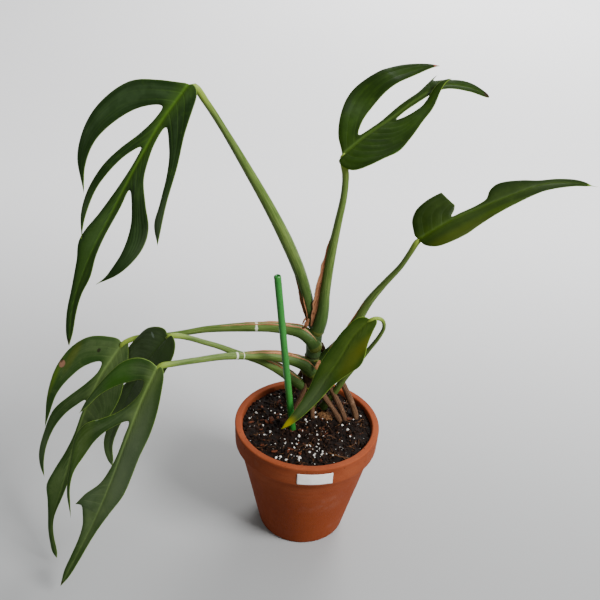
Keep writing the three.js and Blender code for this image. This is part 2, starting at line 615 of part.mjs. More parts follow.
// Stem, roots, stake, husk, stalks and sheaths
const ringBead = (centre) => STEM_RINGS.reduce(
  (sum, z) => sum + RING_HEIGHT * Math.exp(-(((centre.z - z) / 1.8) ** 2)), 0);
const stemBar = (grow = 0) => bar(STEM, { sides: STEM_SIDES, step: 3.6, extra: ringBead, grow });
const rootBar = (points, grow = 0) => bar(points, { sides: ROOT_SIDES, step: 7, grow });
const stalkBar = (points, grow = 0) => bar(points, { sides: STALK_SIDES, step: STALK_STEP, grow });
const stakeBar = (grow = 0) => bar(STAKE, { sides: STAKE_SIDES, step: 60, grow });
const huskBar = (grow = 0) => bar(HUSK, { sides: HUSK_SIDES, step: 4, grow });

// A wing starts low at both ends and stands out most near its foot
function sheathBar({ stalk, from, to, wide, reach }, grow = 0) {
  const points = STALKS[stalk];
  const path = smooth(points);
  const radii = points.map((p) => p[3]);
  const steps = 6;
  const wing = Array.from({ length: steps + 1 }, (_, i) => {
    const t = THREE.MathUtils.lerp(from, to, i / steps);
    const tangent = path.getTangent(t);
    const out = vec(wide);
    out.addScaledVector(tangent, -out.dot(tangent)).normalize();
    const height = 0.5 + reach * Math.sin(Math.PI * Math.min(1, 0.25 + 0.75 * (i / steps)));
    const centre = path.getPoint(t).addScaledVector(out, along(radii, t) + height / 2 - 0.2);
    return [centre.x, centre.y, centre.z, height / 2 + 0.3];
  });
  return bar(wing, { sides: 6, step: 8, grow, half: SHEATH_THICKNESS / 2, wide: vec(wide) });
}

const inSoil = [stemBar(GAP), stakeBar(GAP), stalkBar(STALKS.d, GAP), huskBar(GAP)];
Object.values(ROOTS).forEach((points) => inSoil.push(rootBar(points, GAP)));


addPiece('pot', potGeometry(), TERRACOTTA);
addPiece('soil', cut(soilGeometry(), inSoil), SOIL_BLACK);
addPiece('label', labelGeometry(), LABEL_WHITE);
addPiece('stake', stakeBar(), STAKE_GREEN);
addPiece('stem', stemBar(), STEM_GREEN);

// Each new piece is trimmed where it meets the ones before it
const placed = [stemBar(GAP)];
Object.entries(STALKS).forEach(([letter, points]) => {
  const leaf = LEAVES[letter];
  const young = letter === 'd';
  addPiece(`blade_${letter}`, bladeGeometry(leaf), young ? YOUNG_GREEN : LEAF_GREEN);
  addPiece(`stalk_${letter}`, cut(stalkBar(points), [...placed, bladeGeometry(leaf, GAP)]), STALK_GREEN);
  placed.push(stalkBar(points, GAP));
});
Object.entries(ROOTS).forEach(([name, points]) => {
  addPiece(name, cut(rootBar(points), placed), ROOT_BROWN);
  placed.push(rootBar(points, GAP));
});
addPiece('husk', cut(huskBar(), placed), HUSK_BROWN);
placed.push(huskBar(GAP));
Object.entries(SHEATHS).forEach(([name, wing]) => {
  addPiece(name, cut(sheathBar(wing), placed), SHEATH_TAN);
});

export default plant;
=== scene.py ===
"""The looks of a potted split-leaf aroid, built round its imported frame.

The plant's lines are given in millimetres, as the frame's source gives them, and every mesh is made in
metres. +Z is up, and the front of the pot looks along -Y.
"""
import math

import bmesh
import bpy
import numpy as np
from mathutils import Matrix, Vector, noise
from mathutils.geometry import delaunay_2d_cdt
from mathutils.kdtree import KDTree


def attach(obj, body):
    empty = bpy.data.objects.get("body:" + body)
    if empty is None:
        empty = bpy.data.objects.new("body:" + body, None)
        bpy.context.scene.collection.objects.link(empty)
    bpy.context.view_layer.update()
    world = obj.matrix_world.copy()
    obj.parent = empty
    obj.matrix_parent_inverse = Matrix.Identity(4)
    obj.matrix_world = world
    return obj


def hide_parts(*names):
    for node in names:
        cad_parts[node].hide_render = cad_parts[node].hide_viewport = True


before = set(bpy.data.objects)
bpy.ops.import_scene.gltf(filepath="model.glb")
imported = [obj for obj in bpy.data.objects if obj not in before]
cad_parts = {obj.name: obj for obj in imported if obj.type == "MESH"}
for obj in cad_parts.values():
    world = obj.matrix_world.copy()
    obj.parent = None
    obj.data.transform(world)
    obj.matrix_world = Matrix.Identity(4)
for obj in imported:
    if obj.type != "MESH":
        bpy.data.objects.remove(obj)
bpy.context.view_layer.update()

MM = 0.001
TURN = 2 * math.pi
rng = np.random.default_rng(20)

# Fineness of the meshes, in millimetres
EDGE_STEP = 1.3
INNER_STEP = 1.7
STALK_STEP = 2.0
SOIL_STEP = 1.05
# Counts of points
LINE_SAMPLES = 400
POT_AROUND = 168
SOIL_AROUND = 300
STAKE_AROUND = 36

# Shape of the leaves beyond the frame's
BLADE_HALF = 0.24       # half the thickness of a real blade
RIDGE_DEPTH = 1.7       # how far the midrib stands out underneath at its foot
GROOVE_DEPTH = 0.55     # how deep it lies in the upper side
VEIN_SPACING = 7.5      # along the midrib
QUILT = 0.13            # height of the swell between two side veins
RIB_CLEARANCE = 0.35    # the least that the margin keeps off the midrib
LEDGE = 0.55            # how far within the margin the row of points for its rounding lies
ON_EDGE = 1e-3          # points nearer to the margin than this are shared by both sides

# Pot, label and soil
POT_HEIGHT = 111
RIM_RADIUS = 65
COLLAR_HEIGHT = 19.5
COLLAR_FOOT_RADIUS = 64
BODY_TOP_RADIUS = 60.5
FOOT_RADIUS = 39.2
POT_WALL = 6
POT_FLOOR = 7
DRAIN_RADIUS = 7
LABEL_SIZE = (31.0, 12.0)
LABEL_THICKNESS = 0.25
LABEL_TURN = 0.14       # how far it sits round from the front, as an angle
LABEL_DROP = 1.2        # below the middle of the collar
SOIL_LEVEL = 107.3
SOIL_RADIUS = 58.0
STAKE_RADIUS = 3.0
BLOOM_PLACE = (0.0246, -0.048, 0.0573)     # a pale bloom on the pot, in metres
FLOOR_NEAR, FLOOR_FAR = -3.2, -2.2         # painted light: where the floor begins and ends to grow paler

# The seven leaves. The rib runs from the stalk to the tip of the blade. The face is where the upper
# side looks at each end of the rib. Each half is a list of margin runs in flat millimetres, along the
# rib and out from it. A run starts where the one before it ends, at a lobe's tip, and goes round the
# gap to the next tip. An overlap slides and lifts the part beyond a distance from the rib.
LEAVES = {
    "a": dict(
        rib=[(-99, -40, 425), (-118, -50, 398), (-134, -61, 369), (-149, -71, 340), (-164, -81, 310),
             (-175, -91, 278), (-179, -100, 246)],
        face=[(-0.15, -0.85, 0.55), (-0.25, -0.9, 0.35)], fold=0.16, arch=0.0045,
        left=[[(-2.2, 0), (-1.4, 2.4), (0.6, 6), (3.6, 11.2), (8.2, 18.6), (21, 35), (41, 45), (60, 47),
               (81, 41), (101, 24.5)],
              [(84, 32.5), (64, 34), (43, 27), (29, 17), (21, 6), (31, 5.5), (44, 9), (60, 16),
               (79, 22), (97, 23.5), (114, 19.5), (129, 11)],
              [(114, 15.5), (94, 18), (77, 15), (61, 9.5), (52, 3.5), (63, 3), (82, 4.5), (106, 8),
               (131, 12), (145, 8), (166, 4.5), (188, 4), (200, 2.8), (208, 0)]],
        right=[[(-2.2, 0), (-3.8, 2.6), (-3.4, 5.4), (-0.4, 9.2), (13, 15), (40, 24), (66, 31),
                (87, 36.5), (105, 41.5)],
               [(94, 32.5), (78, 29), (59, 23), (43, 15.5), (31, 5), (43, 4), (57, 6), (70, 10),
                (84, 20), (98, 30), (114, 33), (137, 27), (155, 12)],
               [(145, 17.5), (126, 21), (110, 19), (96, 14), (82, 4), (96, 4), (118, 3.5), (136, 4.5),
                (151, 6.5), (166, 4.5), (182, 3.5), (196, 2.5), (208, 0)]]),
    "b": dict(
        rib=[(13, 20, 359), (32, 38, 370), (52, 56, 379), (72, 73, 390), (93, 90, 397), (117, 104, 393),
             (139, 118, 382)],
        face=[(-0.15, -0.62, 0.78), (-0.15, -0.62, 0.78)], fold=0.1, arch=0.0045,
        overlap=dict(side=1, beyond=4.6, from_u=81, to_u=118.5, slide=7, lift=8),
        left=[[(0, 0), (-6, 2), (-8.5, 9), (-5, 17), (7, 23), (20.5, 26), (36, 28), (52.5, 25),
               (71, 20), (83.5, 17), (95, 14.5), (106.5, 11.5), (118.5, 8)],
              [(106.5, 6), (94, 6.5), (80.5, 7.8), (68, 6.8), (58, 3.4), (67, 2.4), (80.5, 3),
               (97, 3.2), (114.5, 4), (129, 4.6), (142.5, 5), (158, 4), (168, 2), (170, 0)]],
        right=[[(0, 0), (4, 5.5), (10.5, 14.5), (25, 27), (43.5, 39), (60, 43.5), (81.5, 42),
                (101, 35.5), (121, 20)],
               [(106.5, 19.6), (87, 21.5), (66, 21), (46.5, 16.6), (32.5, 10.8), (23.5, 4.5), (40, 3.2),
                (65, 5), (91, 5), (104, 7.5), (115.5, 11.5)],
               [(110, 7.6), (114.5, 6.2), (125, 5.6), (140.5, 6), (156, 4.6), (168, 2), (170, 0)]]),
    "c": dict(
        rib=[(78, 0, 300), (101, 9, 313), (125, 18, 322), (150, 26, 331), (175, 35, 338),
             (203.5, 48, 336), (230.6, 60.4, 328.7)],
        face=[(-0.2, -0.62, 0.75), (-0.2, -0.62, 0.75)], fold=0.15, arch=0.006,
        left=[[(0, 0), (1, 7), (8, 14), (20, 17), (35, 17), (48, 14.5), (68, 11), (87, 8.5), (106, 7),
               (125, 5.5), (145, 3.2), (156, 2), (165, 0)]],
        right=[[(0, 0), (-1, 4), (1, 10), (4, 16), (11, 21.5), (21, 24), (35, 25)],
               [(36.5, 18.5), (39, 10)],
               [(36, 6), (32, 2.8), (42, 2.6), (55, 3.2), (64, 5), (69, 10), (76, 13), (85, 12.5),
                (97, 9), (110, 4.5), (128, 3.8), (146, 3.4), (158, 2.2), (165, 0)]]),
    "d": dict(
        rib=[(46, -4, 225), (33, -7, 208), (24, -11, 189), (14, -14, 170), (4, -17, 151),
             (-9, -21, 134), (-23, -24, 119)],
        face=[(-0.3, -0.85, 0.45), (-0.2, -0.9, 0.3)], fold=0.08, arch=0.006,
        left=[[(0, 0), (1, 4), (6, 8), (20, 10), (40, 12), (55, 12), (77, 9), (94, 6.5), (108, 4.5),
               (121, 2.4), (129, 0)]],
        right=[[(0, 0), (-2.5, 1.6), (-4, 4), (-2.4, 6.2), (4, 8.6), (14, 12.6), (26, 16.6), (38, 18),
                (47, 14.5), (58, 10.5), (70, 7.5), (90, 5), (108, 3.8), (121, 2.4), (129, 0)]]),
    "e": dict(
        rib=[(-165, 8, 177), (-182, -8, 152), (-194, -23, 124), (-203, -37, 94), (-211, -52, 64),
             (-219, -67, 34), (-213, -82, 7)],
        face=[(-0.15, -0.75, 0.62), (-0.3, -0.9, 0.35)], fold=0.12, arch=0.0045,
        left=[[(0, 0), (-2, 5), (1, 14), (11, 28), (27, 37.5), (45, 41), (66, 38.5), (80, 35),
               (94, 31.5)],
              [(80, 30.5), (62, 29.5), (46, 24.5), (33, 17.5), (23, 6.5), (31, 4.5), (45, 9.5),
               (61, 19), (78, 28.5), (97, 31), (115, 29.5), (127, 24.5), (135, 18.5)],
              [(121, 22.5), (106, 24.5), (92, 23), (77, 17), (66, 10), (58, 3.6), (73, 2.8), (90, 3.4),
               (108, 6.5), (126, 11.5), (142, 14.5), (155, 8.5), (168, 4.2), (186, 3.6), (197, 3.4),
               (204, 0)]],
        right=[[(0, 0), (-5, 2.5), (0, 7), (9, 13.5), (24, 21), (41, 24.5), (58, 23.5), (82, 17.5)],
               [(77, 13.5), (74, 8.5), (82, 6.2), (92, 6.4), (104, 6.4), (120, 5), (135, 4), (150, 3),
                (166, 1.6), (184, 1.4), (197, 1.6), (204, 0)]]),
    "f": dict(
        rib=[(-121, -16, 204), (-138, -12, 177), (-151, -7, 150), (-163, -3, 122), (-174, 1, 94),
             (-182, 6, 64), (-182, 10, 33)],
        face=[(-0.34, -0.6, 0.72), (0, -0.85, 0.5)], fold=0.1, arch=0.009,
        left=[[(0, 0), (-1, 6), (5, 14), (18, 22), (33, 24.8), (48, 25.5), (64, 24.2), (86, 20)],
              [(75, 17.5), (65, 12), (57, 4.5), (70, 7), (86, 10.5), (112, 10.5), (136, 6.5), (152, 6),
               (168, 4.5), (178, 2.6), (184, 0)]],
        right=[[(0, 0), (-5, 3), (-5, 10), (1, 16), (12, 20), (32, 22), (56, 20), (80, 14.5),
                (100, 8.5), (120, 5), (139, 4), (160, 3), (176, 2.2), (184, 0)]]),
    "g": dict(
        rib=[(-124, -50, 196), (-137, -62, 166), (-148, -73, 135), (-159, -85, 103), (-171, -96, 73),
             (-185, -107, 43), (-200, -118, 13)],
        face=[(-0.1, -0.8, 0.6), (-0.2, -0.9, 0.35)], fold=0.14, arch=0.004,
        left=[[(0, 0), (-2, 8), (0, 18), (8, 27), (22, 34), (37.5, 39.5), (51.5, 43.5), (62.5, 45)],
              [(52.5, 39.5), (42.5, 35), (32.5, 27.5), (24, 19), (15, 6), (23, 4), (33.5, 6.5),
               (46.5, 14), (56.5, 24), (67.5, 36.5), (81, 41.5), (96, 40), (116, 35.5), (134.5, 29.5),
               (151.5, 19)],
              [(140.5, 24), (126.5, 29.5), (111, 32), (94, 29), (77, 24), (62.5, 15.5), (51.5, 4),
               (65.5, 3.2), (83, 3.4), (97, 5.2), (111, 8.5), (124.5, 16), (137.5, 20.5)],
              [(136, 15.5), (142.5, 11.5), (151.5, 7.5), (165.5, 5.2), (181, 4.4), (196, 3.4),
               (210, 0)]],
        right=[[(0, 0), (-2, 3), (2, 7), (14, 11.5), (30.5, 15.5), (51.5, 17), (76, 15.5), (93, 15),
                (112, 14), (128.5, 10), (145.5, 6.5), (161.5, 4.8), (180, 4), (198, 2.8), (210, 0)]]),
}

# Lines of the stalks, the stem, the husk and the roots, with a half thickness at each point, and of the
# stake
STALKS = {
    "a": [(-0.5, 27.5, 197, 4.6), (-2, 26, 206, 4.9), (-6.2, 23, 224, 4.8), (-10.9, 18, 243.5, 4.9),
          (-16.6, 12, 262, 5.1), (-27, 3, 290, 5.1), (-42, -6, 324, 4.3), (-58, -15, 357, 3.5),
          (-74, -26, 389.5, 2.6), (-86.2, -33.4, 412, 2.5), (-94.8, -36.6, 424, 2.3),
          (-99.5, -38.6, 421.5, 1.4)],
    "b": [(3.8, 21.5, 194.5, 6), (6.2, 21, 206, 5.8), (7.6, 21, 218.4, 5), (7.8, 21, 231, 4.5),
          (9, 21, 251, 4.1), (11, 21, 275, 3.8), (14, 21, 300, 3.2), (17, 21, 324, 2.8),
          (17, 21, 342, 2.7), (14, 21, 357, 2.3)],
    "c": [(4, 22, 158, 5.2), (16, 21, 172, 5.2), (28, 18, 191, 4.8), (37, 15, 212, 4.4),
          (45, 12, 233, 3.7), (56, 9, 253, 2.8), (67, 5, 272, 2.3), (73, 3, 286, 2.2),
          (77.5, 1.6, 297, 2.1), (81, 2.6, 299.6, 1.4)],
    "d": [(8, 25, 92, 4.4), (12, 24, 105, 4.2), (18, 21, 120, 3.5), (24, 18, 134, 3.1),
          (31, 15, 151, 2.8), (41, 11, 171, 2.4), (49, 7, 188, 2), (56, 3, 204, 1.8), (59, 1, 215, 1.6),
          (57, -1, 223, 1.5), (52, -3, 226, 1.5), (47, -4, 225, 1.5)],
    "e": [(2.6, 19.4, 179.5, 6.5), (-1.8, 19, 187, 6.2), (-10, 20.2, 192.5, 5.6), (-21, 21, 194.5, 4.9),
          (-38, 20, 196, 4.2), (-58, 18, 196, 4), (-78, 16, 195, 3.4), (-94, 15, 193, 2.9),
          (-110, 13, 190, 2.5), (-125, 12, 187, 2.3), (-141, 13, 184, 2.2), (-155, 12.5, 181, 2.1),
          (-165, 8, 177, 2)],
    "f": [(2, 22, 128, 5.4), (-15, 18, 144, 5), (-31, 14, 158, 4.2), (-46, 10, 168, 3.6),
          (-62, 5, 176, 3), (-80, -1, 187, 2.4), (-92, -5, 193, 2.3), (-104, -9, 199, 2.2),
          (-114, -13, 203, 2.1), (-121, -15, 203, 2)],
    "g": [(3, 19, 152, 6.3), (-6, 17.2, 161.5, 5.9), (-24, 11, 171, 4.6), (-40, 4, 177, 4),
          (-56, -5, 182, 3.5), (-75, -16, 187, 2.9), (-94, -29, 191, 2.6), (-112, -42, 195, 2.4),
          (-122, -47.6, 195.6, 2.1), (-125.5, -49, 192.5, 1.4)],
}
STEM = [(-1, 24, 88, 6.5), (-1, 24, 100, 7.6), (0, 24, 118, 7.8), (1, 23, 140, 7.8),
        (1.5, 23, 158, 7.6), (1.8, 23, 172, 7.1), (1.6, 22.5, 182, 6.8), (2, 22, 190, 6.2),
        (2.5, 22, 197, 4.8)]
HUSK = [(10, 15, 101, 3), (14, 13.6, 106.5, 5), (19, 12, 106.5, 4.4), (24, 10.5, 103, 2.6)]
STAKE = [(-10, -7.4, 88), (-12, -7.8, 103), (-22.3, -9.9, 184), (-32.2, -11.98, 265.2), (-32.3, -12, 266)]
STEM_RINGS = [113, 125, 137, 150, 166.5]     # their heights
ROOTS = {
    "root_1": [(8, 26, 178, 2), (13, 24, 167, 2.3), (21, 21, 154, 2.6), (29, 19, 143, 2.7),
               (37, 16.5, 128, 3), (43, 14, 114, 2.7), (47, 12, 99, 2.2)],
    "root_2": [(8, 25, 150, 2.2), (15, 22, 144, 2.6), (23, 17, 130, 2.7), (32, 12, 114, 2.4),
               (38, 9, 98, 2)],
    "root_3": [(5, 20, 138, 2.2), (11, 17, 132, 2.5), (19, 12.5, 123, 2.6), (29, 7, 110, 2.3),
               (36, 3, 96, 2)],
    "root_4": [(0, 28, 163, 2), (-5, 33, 148, 2.3), (-10, 37, 131, 2.4), (-15, 40, 116, 2.4),
               (-17, 43, 98, 2.1)],
    "root_5": [(-2, 19, 143, 2), (-6, 14.5, 130, 2.3), (-11, 12, 117, 2.3), (-15, 9, 108, 2.1),
               (-18, 7, 96, 1.8)],
    "root_6": [(3, 17, 128, 2), (4, 12, 118, 2.3), (5, 8.5, 109, 2), (6, 6, 97, 1.7)],
    "root_7": [(6, 30, 168, 2), (10, 38, 150, 2.4), (13, 44, 128, 2.5), (15, 48, 99, 2.2)],
}


# Numbers and curves
def smoothstep(x, low, high):
    t = np.clip((np.asarray(x, float) - low) / (high - low), 0, 1)
    return t * t * (3 - 2 * t)


def unit(vectors):
    return vectors / np.maximum(np.linalg.norm(vectors, axis=-1, keepdims=True), 1e-12)


def blend(a, b, t):
    return a + (b - a) * t


def bell(x, width):
    return np.exp(-(x / width) ** 2)


def columns(*parts):
    """Numbers side by side, as the columns of one table."""
    return np.column_stack(np.broadcast_arrays(*parts)).astype(float)


def arc_of(path):
    """The length of a path from its start to each of its points."""
    return np.concatenate([[0], np.cumsum(np.linalg.norm(np.diff(path, axis=0), axis=1))])


def read_at(table, arc, s):
    """The rows of a table at lengths s."""
    return np.stack([np.interp(s, arc, column) for column in table.T], axis=-1)


def angles(count):
    return np.linspace(0, TURN, count, endpoint=False)


def ripple(points, size, seed):
    """Smooth noise from -1 to 1 at places in millimetres, with swells of the given size."""
    shift = Vector((seed * 7.3, seed * 3.1, seed * 5.7))
    return np.array([noise.noise(Vector(p) / size + shift) for p in np.asarray(points, float)])


def through(points, t):
    """A centripetal Catmull-Rom curve through the points, read at places t from 0 to 1."""
    pts = np.asarray(points, float)
    padded = np.vstack([2 * pts[0] - pts[1], pts, 2 * pts[-1] - pts[-2]])
    place = np.clip(np.asarray(t, float), 0, 1) * (len(pts) - 1)
    low = np.minimum(place.astype(int), len(pts) - 2)
    w = (place - low)[:, None]
    p0, p1, p2, p3 = (padded[low + k] for k in range(4))
    d0, d1, d2 = (
        np.sqrt(np.maximum(np.linalg.norm(b - a, axis=1), 1e-4))[:, None]
        for a, b in ((p0, p1), (p1, p2), (p2, p3))
    )
    m1 = ((p1 - p0) / d0 - (p2 - p0) / (d0 + d1) + (p2 - p1) / d1) * d1
    m2 = ((p2 - p1) / d1 - (p3 - p1) / (d1 + d2) + (p3 - p2) / d2) * d1
    return p1 + w * m1 + w * w * (3 * (p2 - p1) - 2 * m1 - m2) + w ** 3 * (2 * (p1 - p2) + m1 + m2)


class Line:
    """A smooth path that is read by its length, with the fourth number of its points as half thickness."""

    def __init__(self, points):
        t = np.linspace(0, 1, LINE_SAMPLES + 1)
        pts = np.asarray(points, float)
        self.path = through(pts[:, :3], t)
        self.arc = arc_of(self.path)
        self.length = self.arc[-1]
        self.tangents = unit(np.gradient(self.path, self.arc, axis=0))
        if pts.shape[1] > 3:
            self.half = np.interp(t, np.linspace(0, 1, len(pts)), pts[:, 3])

    def at(self, s):
        """Places and directions at lengths s, with the ends carried on straight."""
        s = np.asarray(s, float)
        held = np.clip(s, 0, self.length)
        tangent = unit(read_at(self.tangents, self.arc, held))
        return read_at(self.path, self.arc, held) + tangent * (s - held)[..., None], tangent

    def half_at(self, s):
        return np.interp(s, self.arc, self.half)


def carried_normals(tangents, first):
    """A normal at each place of a path, carried along it without twisting."""
    normals = [unit(first - tangents[0] * np.dot(first, tangents[0]))]
    for tangent in tangents[1:]:
        normals.append(unit(normals[-1] - tangent * np.dot(normals[-1], tangent)))
    return np.array(normals)


# Meshes
def make_mesh(name, points, faces, values=None, finishes=(), face_finish=None):
    """A smooth piece from places in millimetres, with a named number at each of its points."""
    mesh = bpy.data.meshes.new(name)
    mesh.from_pydata((np.asarray(points, float) * MM).tolist(), [], [list(f) for f in faces])
    for key, numbers in (values or {}).items():
        layer = mesh.attributes.new(key, "FLOAT", "POINT")
        layer.data.foreach_set("value", np.asarray(numbers, np.float32))
    for finish in finishes:
        mesh.materials.append(finish)
    if face_finish is not None:
        mesh.polygons.foreach_set("material_index", np.asarray(face_finish, np.int32))
    mesh.polygons.foreach_set("use_smooth", np.ones(len(mesh.polygons), bool))
    mesh.update()
    piece = bpy.data.objects.new(name, mesh)
    bpy.context.scene.collection.objects.link(piece)
    return piece


def dress(piece, slot, *nodes):
    """Puts a piece on the frame, in the place of the nodes that it stands for."""
    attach(piece, "root")
    if nodes:
        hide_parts(*nodes)
    return piece


def skin(count, around):
    """Faces that join equal rings of points into a closed skin."""
    faces = []
    for row in range(count - 1):
        for k in range(around):
            a, b = row * around + k, row * around + (k + 1) % around
            faces.append((a, b, b + around, a + around))
    faces.append(tuple(range(around - 1, -1, -1)))
    faces.append(tuple(range((count - 1) * around, count * around)))
    return faces


def rod(line, s, radius, first):
    """A rod with a ring at each length s of a line. radius has a row for each ring, and first is where
    the rings start."""
    around = radius.shape[1]
    centre, tangent = line.at(s)
    normal = carried_normals(tangent, np.asarray(first, float))
    across = np.cross(tangent, normal)
    angle = angles(around)
    points = (centre[:, None] + normal[:, None] * (radius * np.cos(angle))[..., None]
              + across[:, None] * (radius * np.sin(angle))[..., None])
    values = {
        "along": np.repeat(np.clip(s / line.length, 0, 1), around),
        "round": np.tile(angle / TURN, len(s)),
        "length": np.repeat(s, around),
    }
    return points.reshape(-1, 3), skin(len(s), around), values


def tube(line, around, step, shape=None):
    """A rod along a line with rounded ends. shape gives its section at a length and an angle as a share
    of its half thickness."""
    count = max(4, int(round(line.length / step)))
    cap_start, cap_end = line.half_at(0) * 0.9, line.half_at(line.length) * 0.9
    turns = np.array([0.98, 0.85, 0.6, 0.3])
    rounding = np.sqrt(1 - turns ** 2)
    middle = np.linspace(0, line.length, count + 1)
    s = np.concatenate([-cap_start * turns, middle, line.length + cap_end * turns[::-1]])
    shrink = np.concatenate([rounding, np.ones(count + 1), rounding[::-1]])
    s_grid, angle_grid = np.meshgrid(s, angles(around), indexing="ij")
    radius = line.half_at(np.clip(s, 0, line.length))[:, None] * shrink[:, None] * np.ones_like(angle_grid)
    if shape is not None:
        radius = radius * shape(s_grid, angle_grid)
    return rod(line, s, radius, (0.3, 0.2, 1))


def roughened(line, points, values, size, seed, depth):
    """A rod's points pushed in and out from its line."""
    middle, _ = line.at(values["length"])
    return points + unit(points - middle) * (ripple(points, size, seed) * depth)[:, None]


def hair(points, half, around=6, step=1.6):
    """A thin rod of one thickness through a few points."""
    return tube(Line([[*p, half] for p in points]), around, step)


def join(parts):
    """Several (points, faces, values) as one."""
    points, faces, values, base = [], [], {}, 0
    for part_points, part_faces, part_values in parts:
        points.append(part_points)
        faces.extend(tuple(i + base for i in face) for face in part_faces)
        for key, numbers in part_values.items():
            values.setdefault(key, []).append(numbers)
        base += len(part_points)
    return np.vstack(points), faces, {key: np.concatenate(numbers) for key, numbers in values.items()}


# Flat sheets
def loop_edges(count):
    return [(k, (k + 1) % count) for k in range(count)]


def triangulated(flat, edges):
    """Flat points joined into triangles, with the given edges among theirs."""
    made = delaunay_2d_cdt([Vector(p) for p in flat.tolist()], edges, [], 1, 1e-4)
    return np.array([tuple(p) for p in made[0]]), np.array([list(f) for f in made[2]])


def two_sides(corners, on_edge):
    """The faces of both sides of a sheet, which share the points on its edge."""
    under = np.arange(len(on_edge))
    under[~on_edge] = len(on_edge) + np.arange((~on_edge).sum())
    return np.vstack([corners, under[corners][:, ::-1]])


def both(table, on_edge):
    """Numbers for the points of both sides of a sheet."""
    return np.concatenate([table, table[~on_edge]])


def off_line(points, line):
    """Distance from each point to a polyline."""
    start, run = line[:-1], np.diff(line, axis=0)
    best = np.full(len(points), 1e9)
    for first in range(0, len(points), 1500):
        gap = points[first:first + 1500, None, :] - start[None]
        t = np.clip((gap * run[None]).sum(axis=2) / np.maximum((run ** 2).sum(axis=1), 1e-9), 0, 1)
        best[first:first + 1500] = np.linalg.norm(gap - t[..., None] * run[None], axis=2).min(axis=1)
    return best


def inside(points, outline):
    """Whether each point lies within an outline, also where the outline laps over itself."""
    turns = np.zeros(len(points), int)
    for (ax, ay), (bx, by) in zip(outline, np.roll(outline, -1, axis=0)):
        side = (bx - ax) * (points[:, 1] - ay) - (points[:, 0] - ax) * (by - ay)
        turns += ((ay <= points[:, 1]) & (by > points[:, 1]) & (side > 0)).astype(int)
        turns -= ((ay > points[:, 1]) & (by <= points[:, 1]) & (side < 0)).astype(int)
    return turns != 0


# Leaf outlines and side veins
def evenly(path, step):
    """A polyline read again at even steps, without its last point."""
    arc = arc_of(path)
    count = max(2, int(round(arc[-1] / step)))
    return read_at(path, arc, np.linspace(0, arc[-1], count + 1)[:-1])


def part_way(path, s):
    """Places on a path at shares s of its length."""
    arc = arc_of(path)
    return read_at(path, arc, s * arc[-1])


def fine_runs(runs, length):
    """Each margin run as a fine polyline that keeps off the rib."""
    fine, start = [], []
    for run in runs:
        run = start + run
        path = through([(u, v, 0) for u, v in run], np.linspace(0, 1, 20 * len(run)))[:, :2]
        path[:, 0] = np.minimum(path[:, 0], length)
        path[:, 1] = np.maximum(path[:, 1], RIB_CLEARANCE)
        fine.append(path)
        start = run[-1:]
    fine[0][0] = runs[0][0]
    fine[-1][-1] = (length, 0)
    return fine


def lobes_of(fine, length):
    """The lower and upper side of each lobe, both from the rib end to the lobe's tip."""
    lobes = []
    low = fine[0]
    for run in fine[1:]:
        bottom = int(np.argmin(run[:, 0]))
        if bottom == 0:
            low = np.vstack([low, run[1:]])
            continue
        lobes.append((low, run[: bottom + 1][::-1]))
        low = run[bottom:]
    lobes.append((low, columns(np.linspace(low[0, 0], length, 60), 0)))
    return lobes


def side_vein(lobe, f, is_last):
    """One side vein: from the rib out into a lobe, drawing together with the others towards its tip."""
    low, high = lobe
    s = np.linspace(0, 1, 60)
    if is_last:
        rail = part_way(low, f + (1 - f) * s)
        foot = blend(max(low[0, 0], 0.0), low[-1, 0], f ** 1.2)
        share = smoothstep(s, 0, 0.9)
    else:
        rail = blend(part_way(low, s), part_way(high, s), f)
        foot = blend(max(low[0, 0], 0.0), high[0, 0], f ** 1.25)
        share = smoothstep(s, 0, 0.3)
    return blend(np.array([[foot, 0.0]]), rail, share[:, None])


def stream(points, lobes):
    """Which side vein each point lies at, as a running number, and how far apart the veins are there."""
    places, flows, gaps = [], [], []
    passed = 0
    for lobe in lobes:
        is_last = lobe is lobes[-1]
        reach = lobe[1][-1, 0] if is_last else lobe[1][0, 0]
        count = max(3, round(reach / VEIN_SPACING) - passed)
        steps = np.linspace(0, 1, 6 * count + 1)
        fan = np.array([side_vein(lobe, f, is_last) for f in steps])
        run = unit(np.gradient(fan, axis=1))
        hop = np.gradient(fan, axis=0) * 6
        places.append(fan.reshape(-1, 2))
        gaps.append(np.abs(run[..., 0] * hop[..., 1] - run[..., 1] * hop[..., 0]).ravel())
        flows.append(np.repeat(passed + steps * count, fan.shape[1]))
        passed += count
    places, flows, gaps = np.vstack(places), np.concatenate(flows), np.concatenate(gaps)
    tree = KDTree(len(places))
    for k, (x, y) in enumerate(places):
        tree.insert((x, y, 0), k)
    tree.balance()
    flow, gap = np.empty(len(points)), np.empty(len(points))
    for k, (x, y) in enumerate(points):
        near = tree.find_n((x, y, 0), 5)
        own = np.array([index for _, index, _ in near])
        weight = 1 / (np.array([distance for _, _, distance in near]) + 0.15) ** 2
        flow[k] = (flows[own] * weight).sum() / weight.sum()
        gap[k] = (gaps[own] * weight).sum() / weight.sum()
    return flow, gap


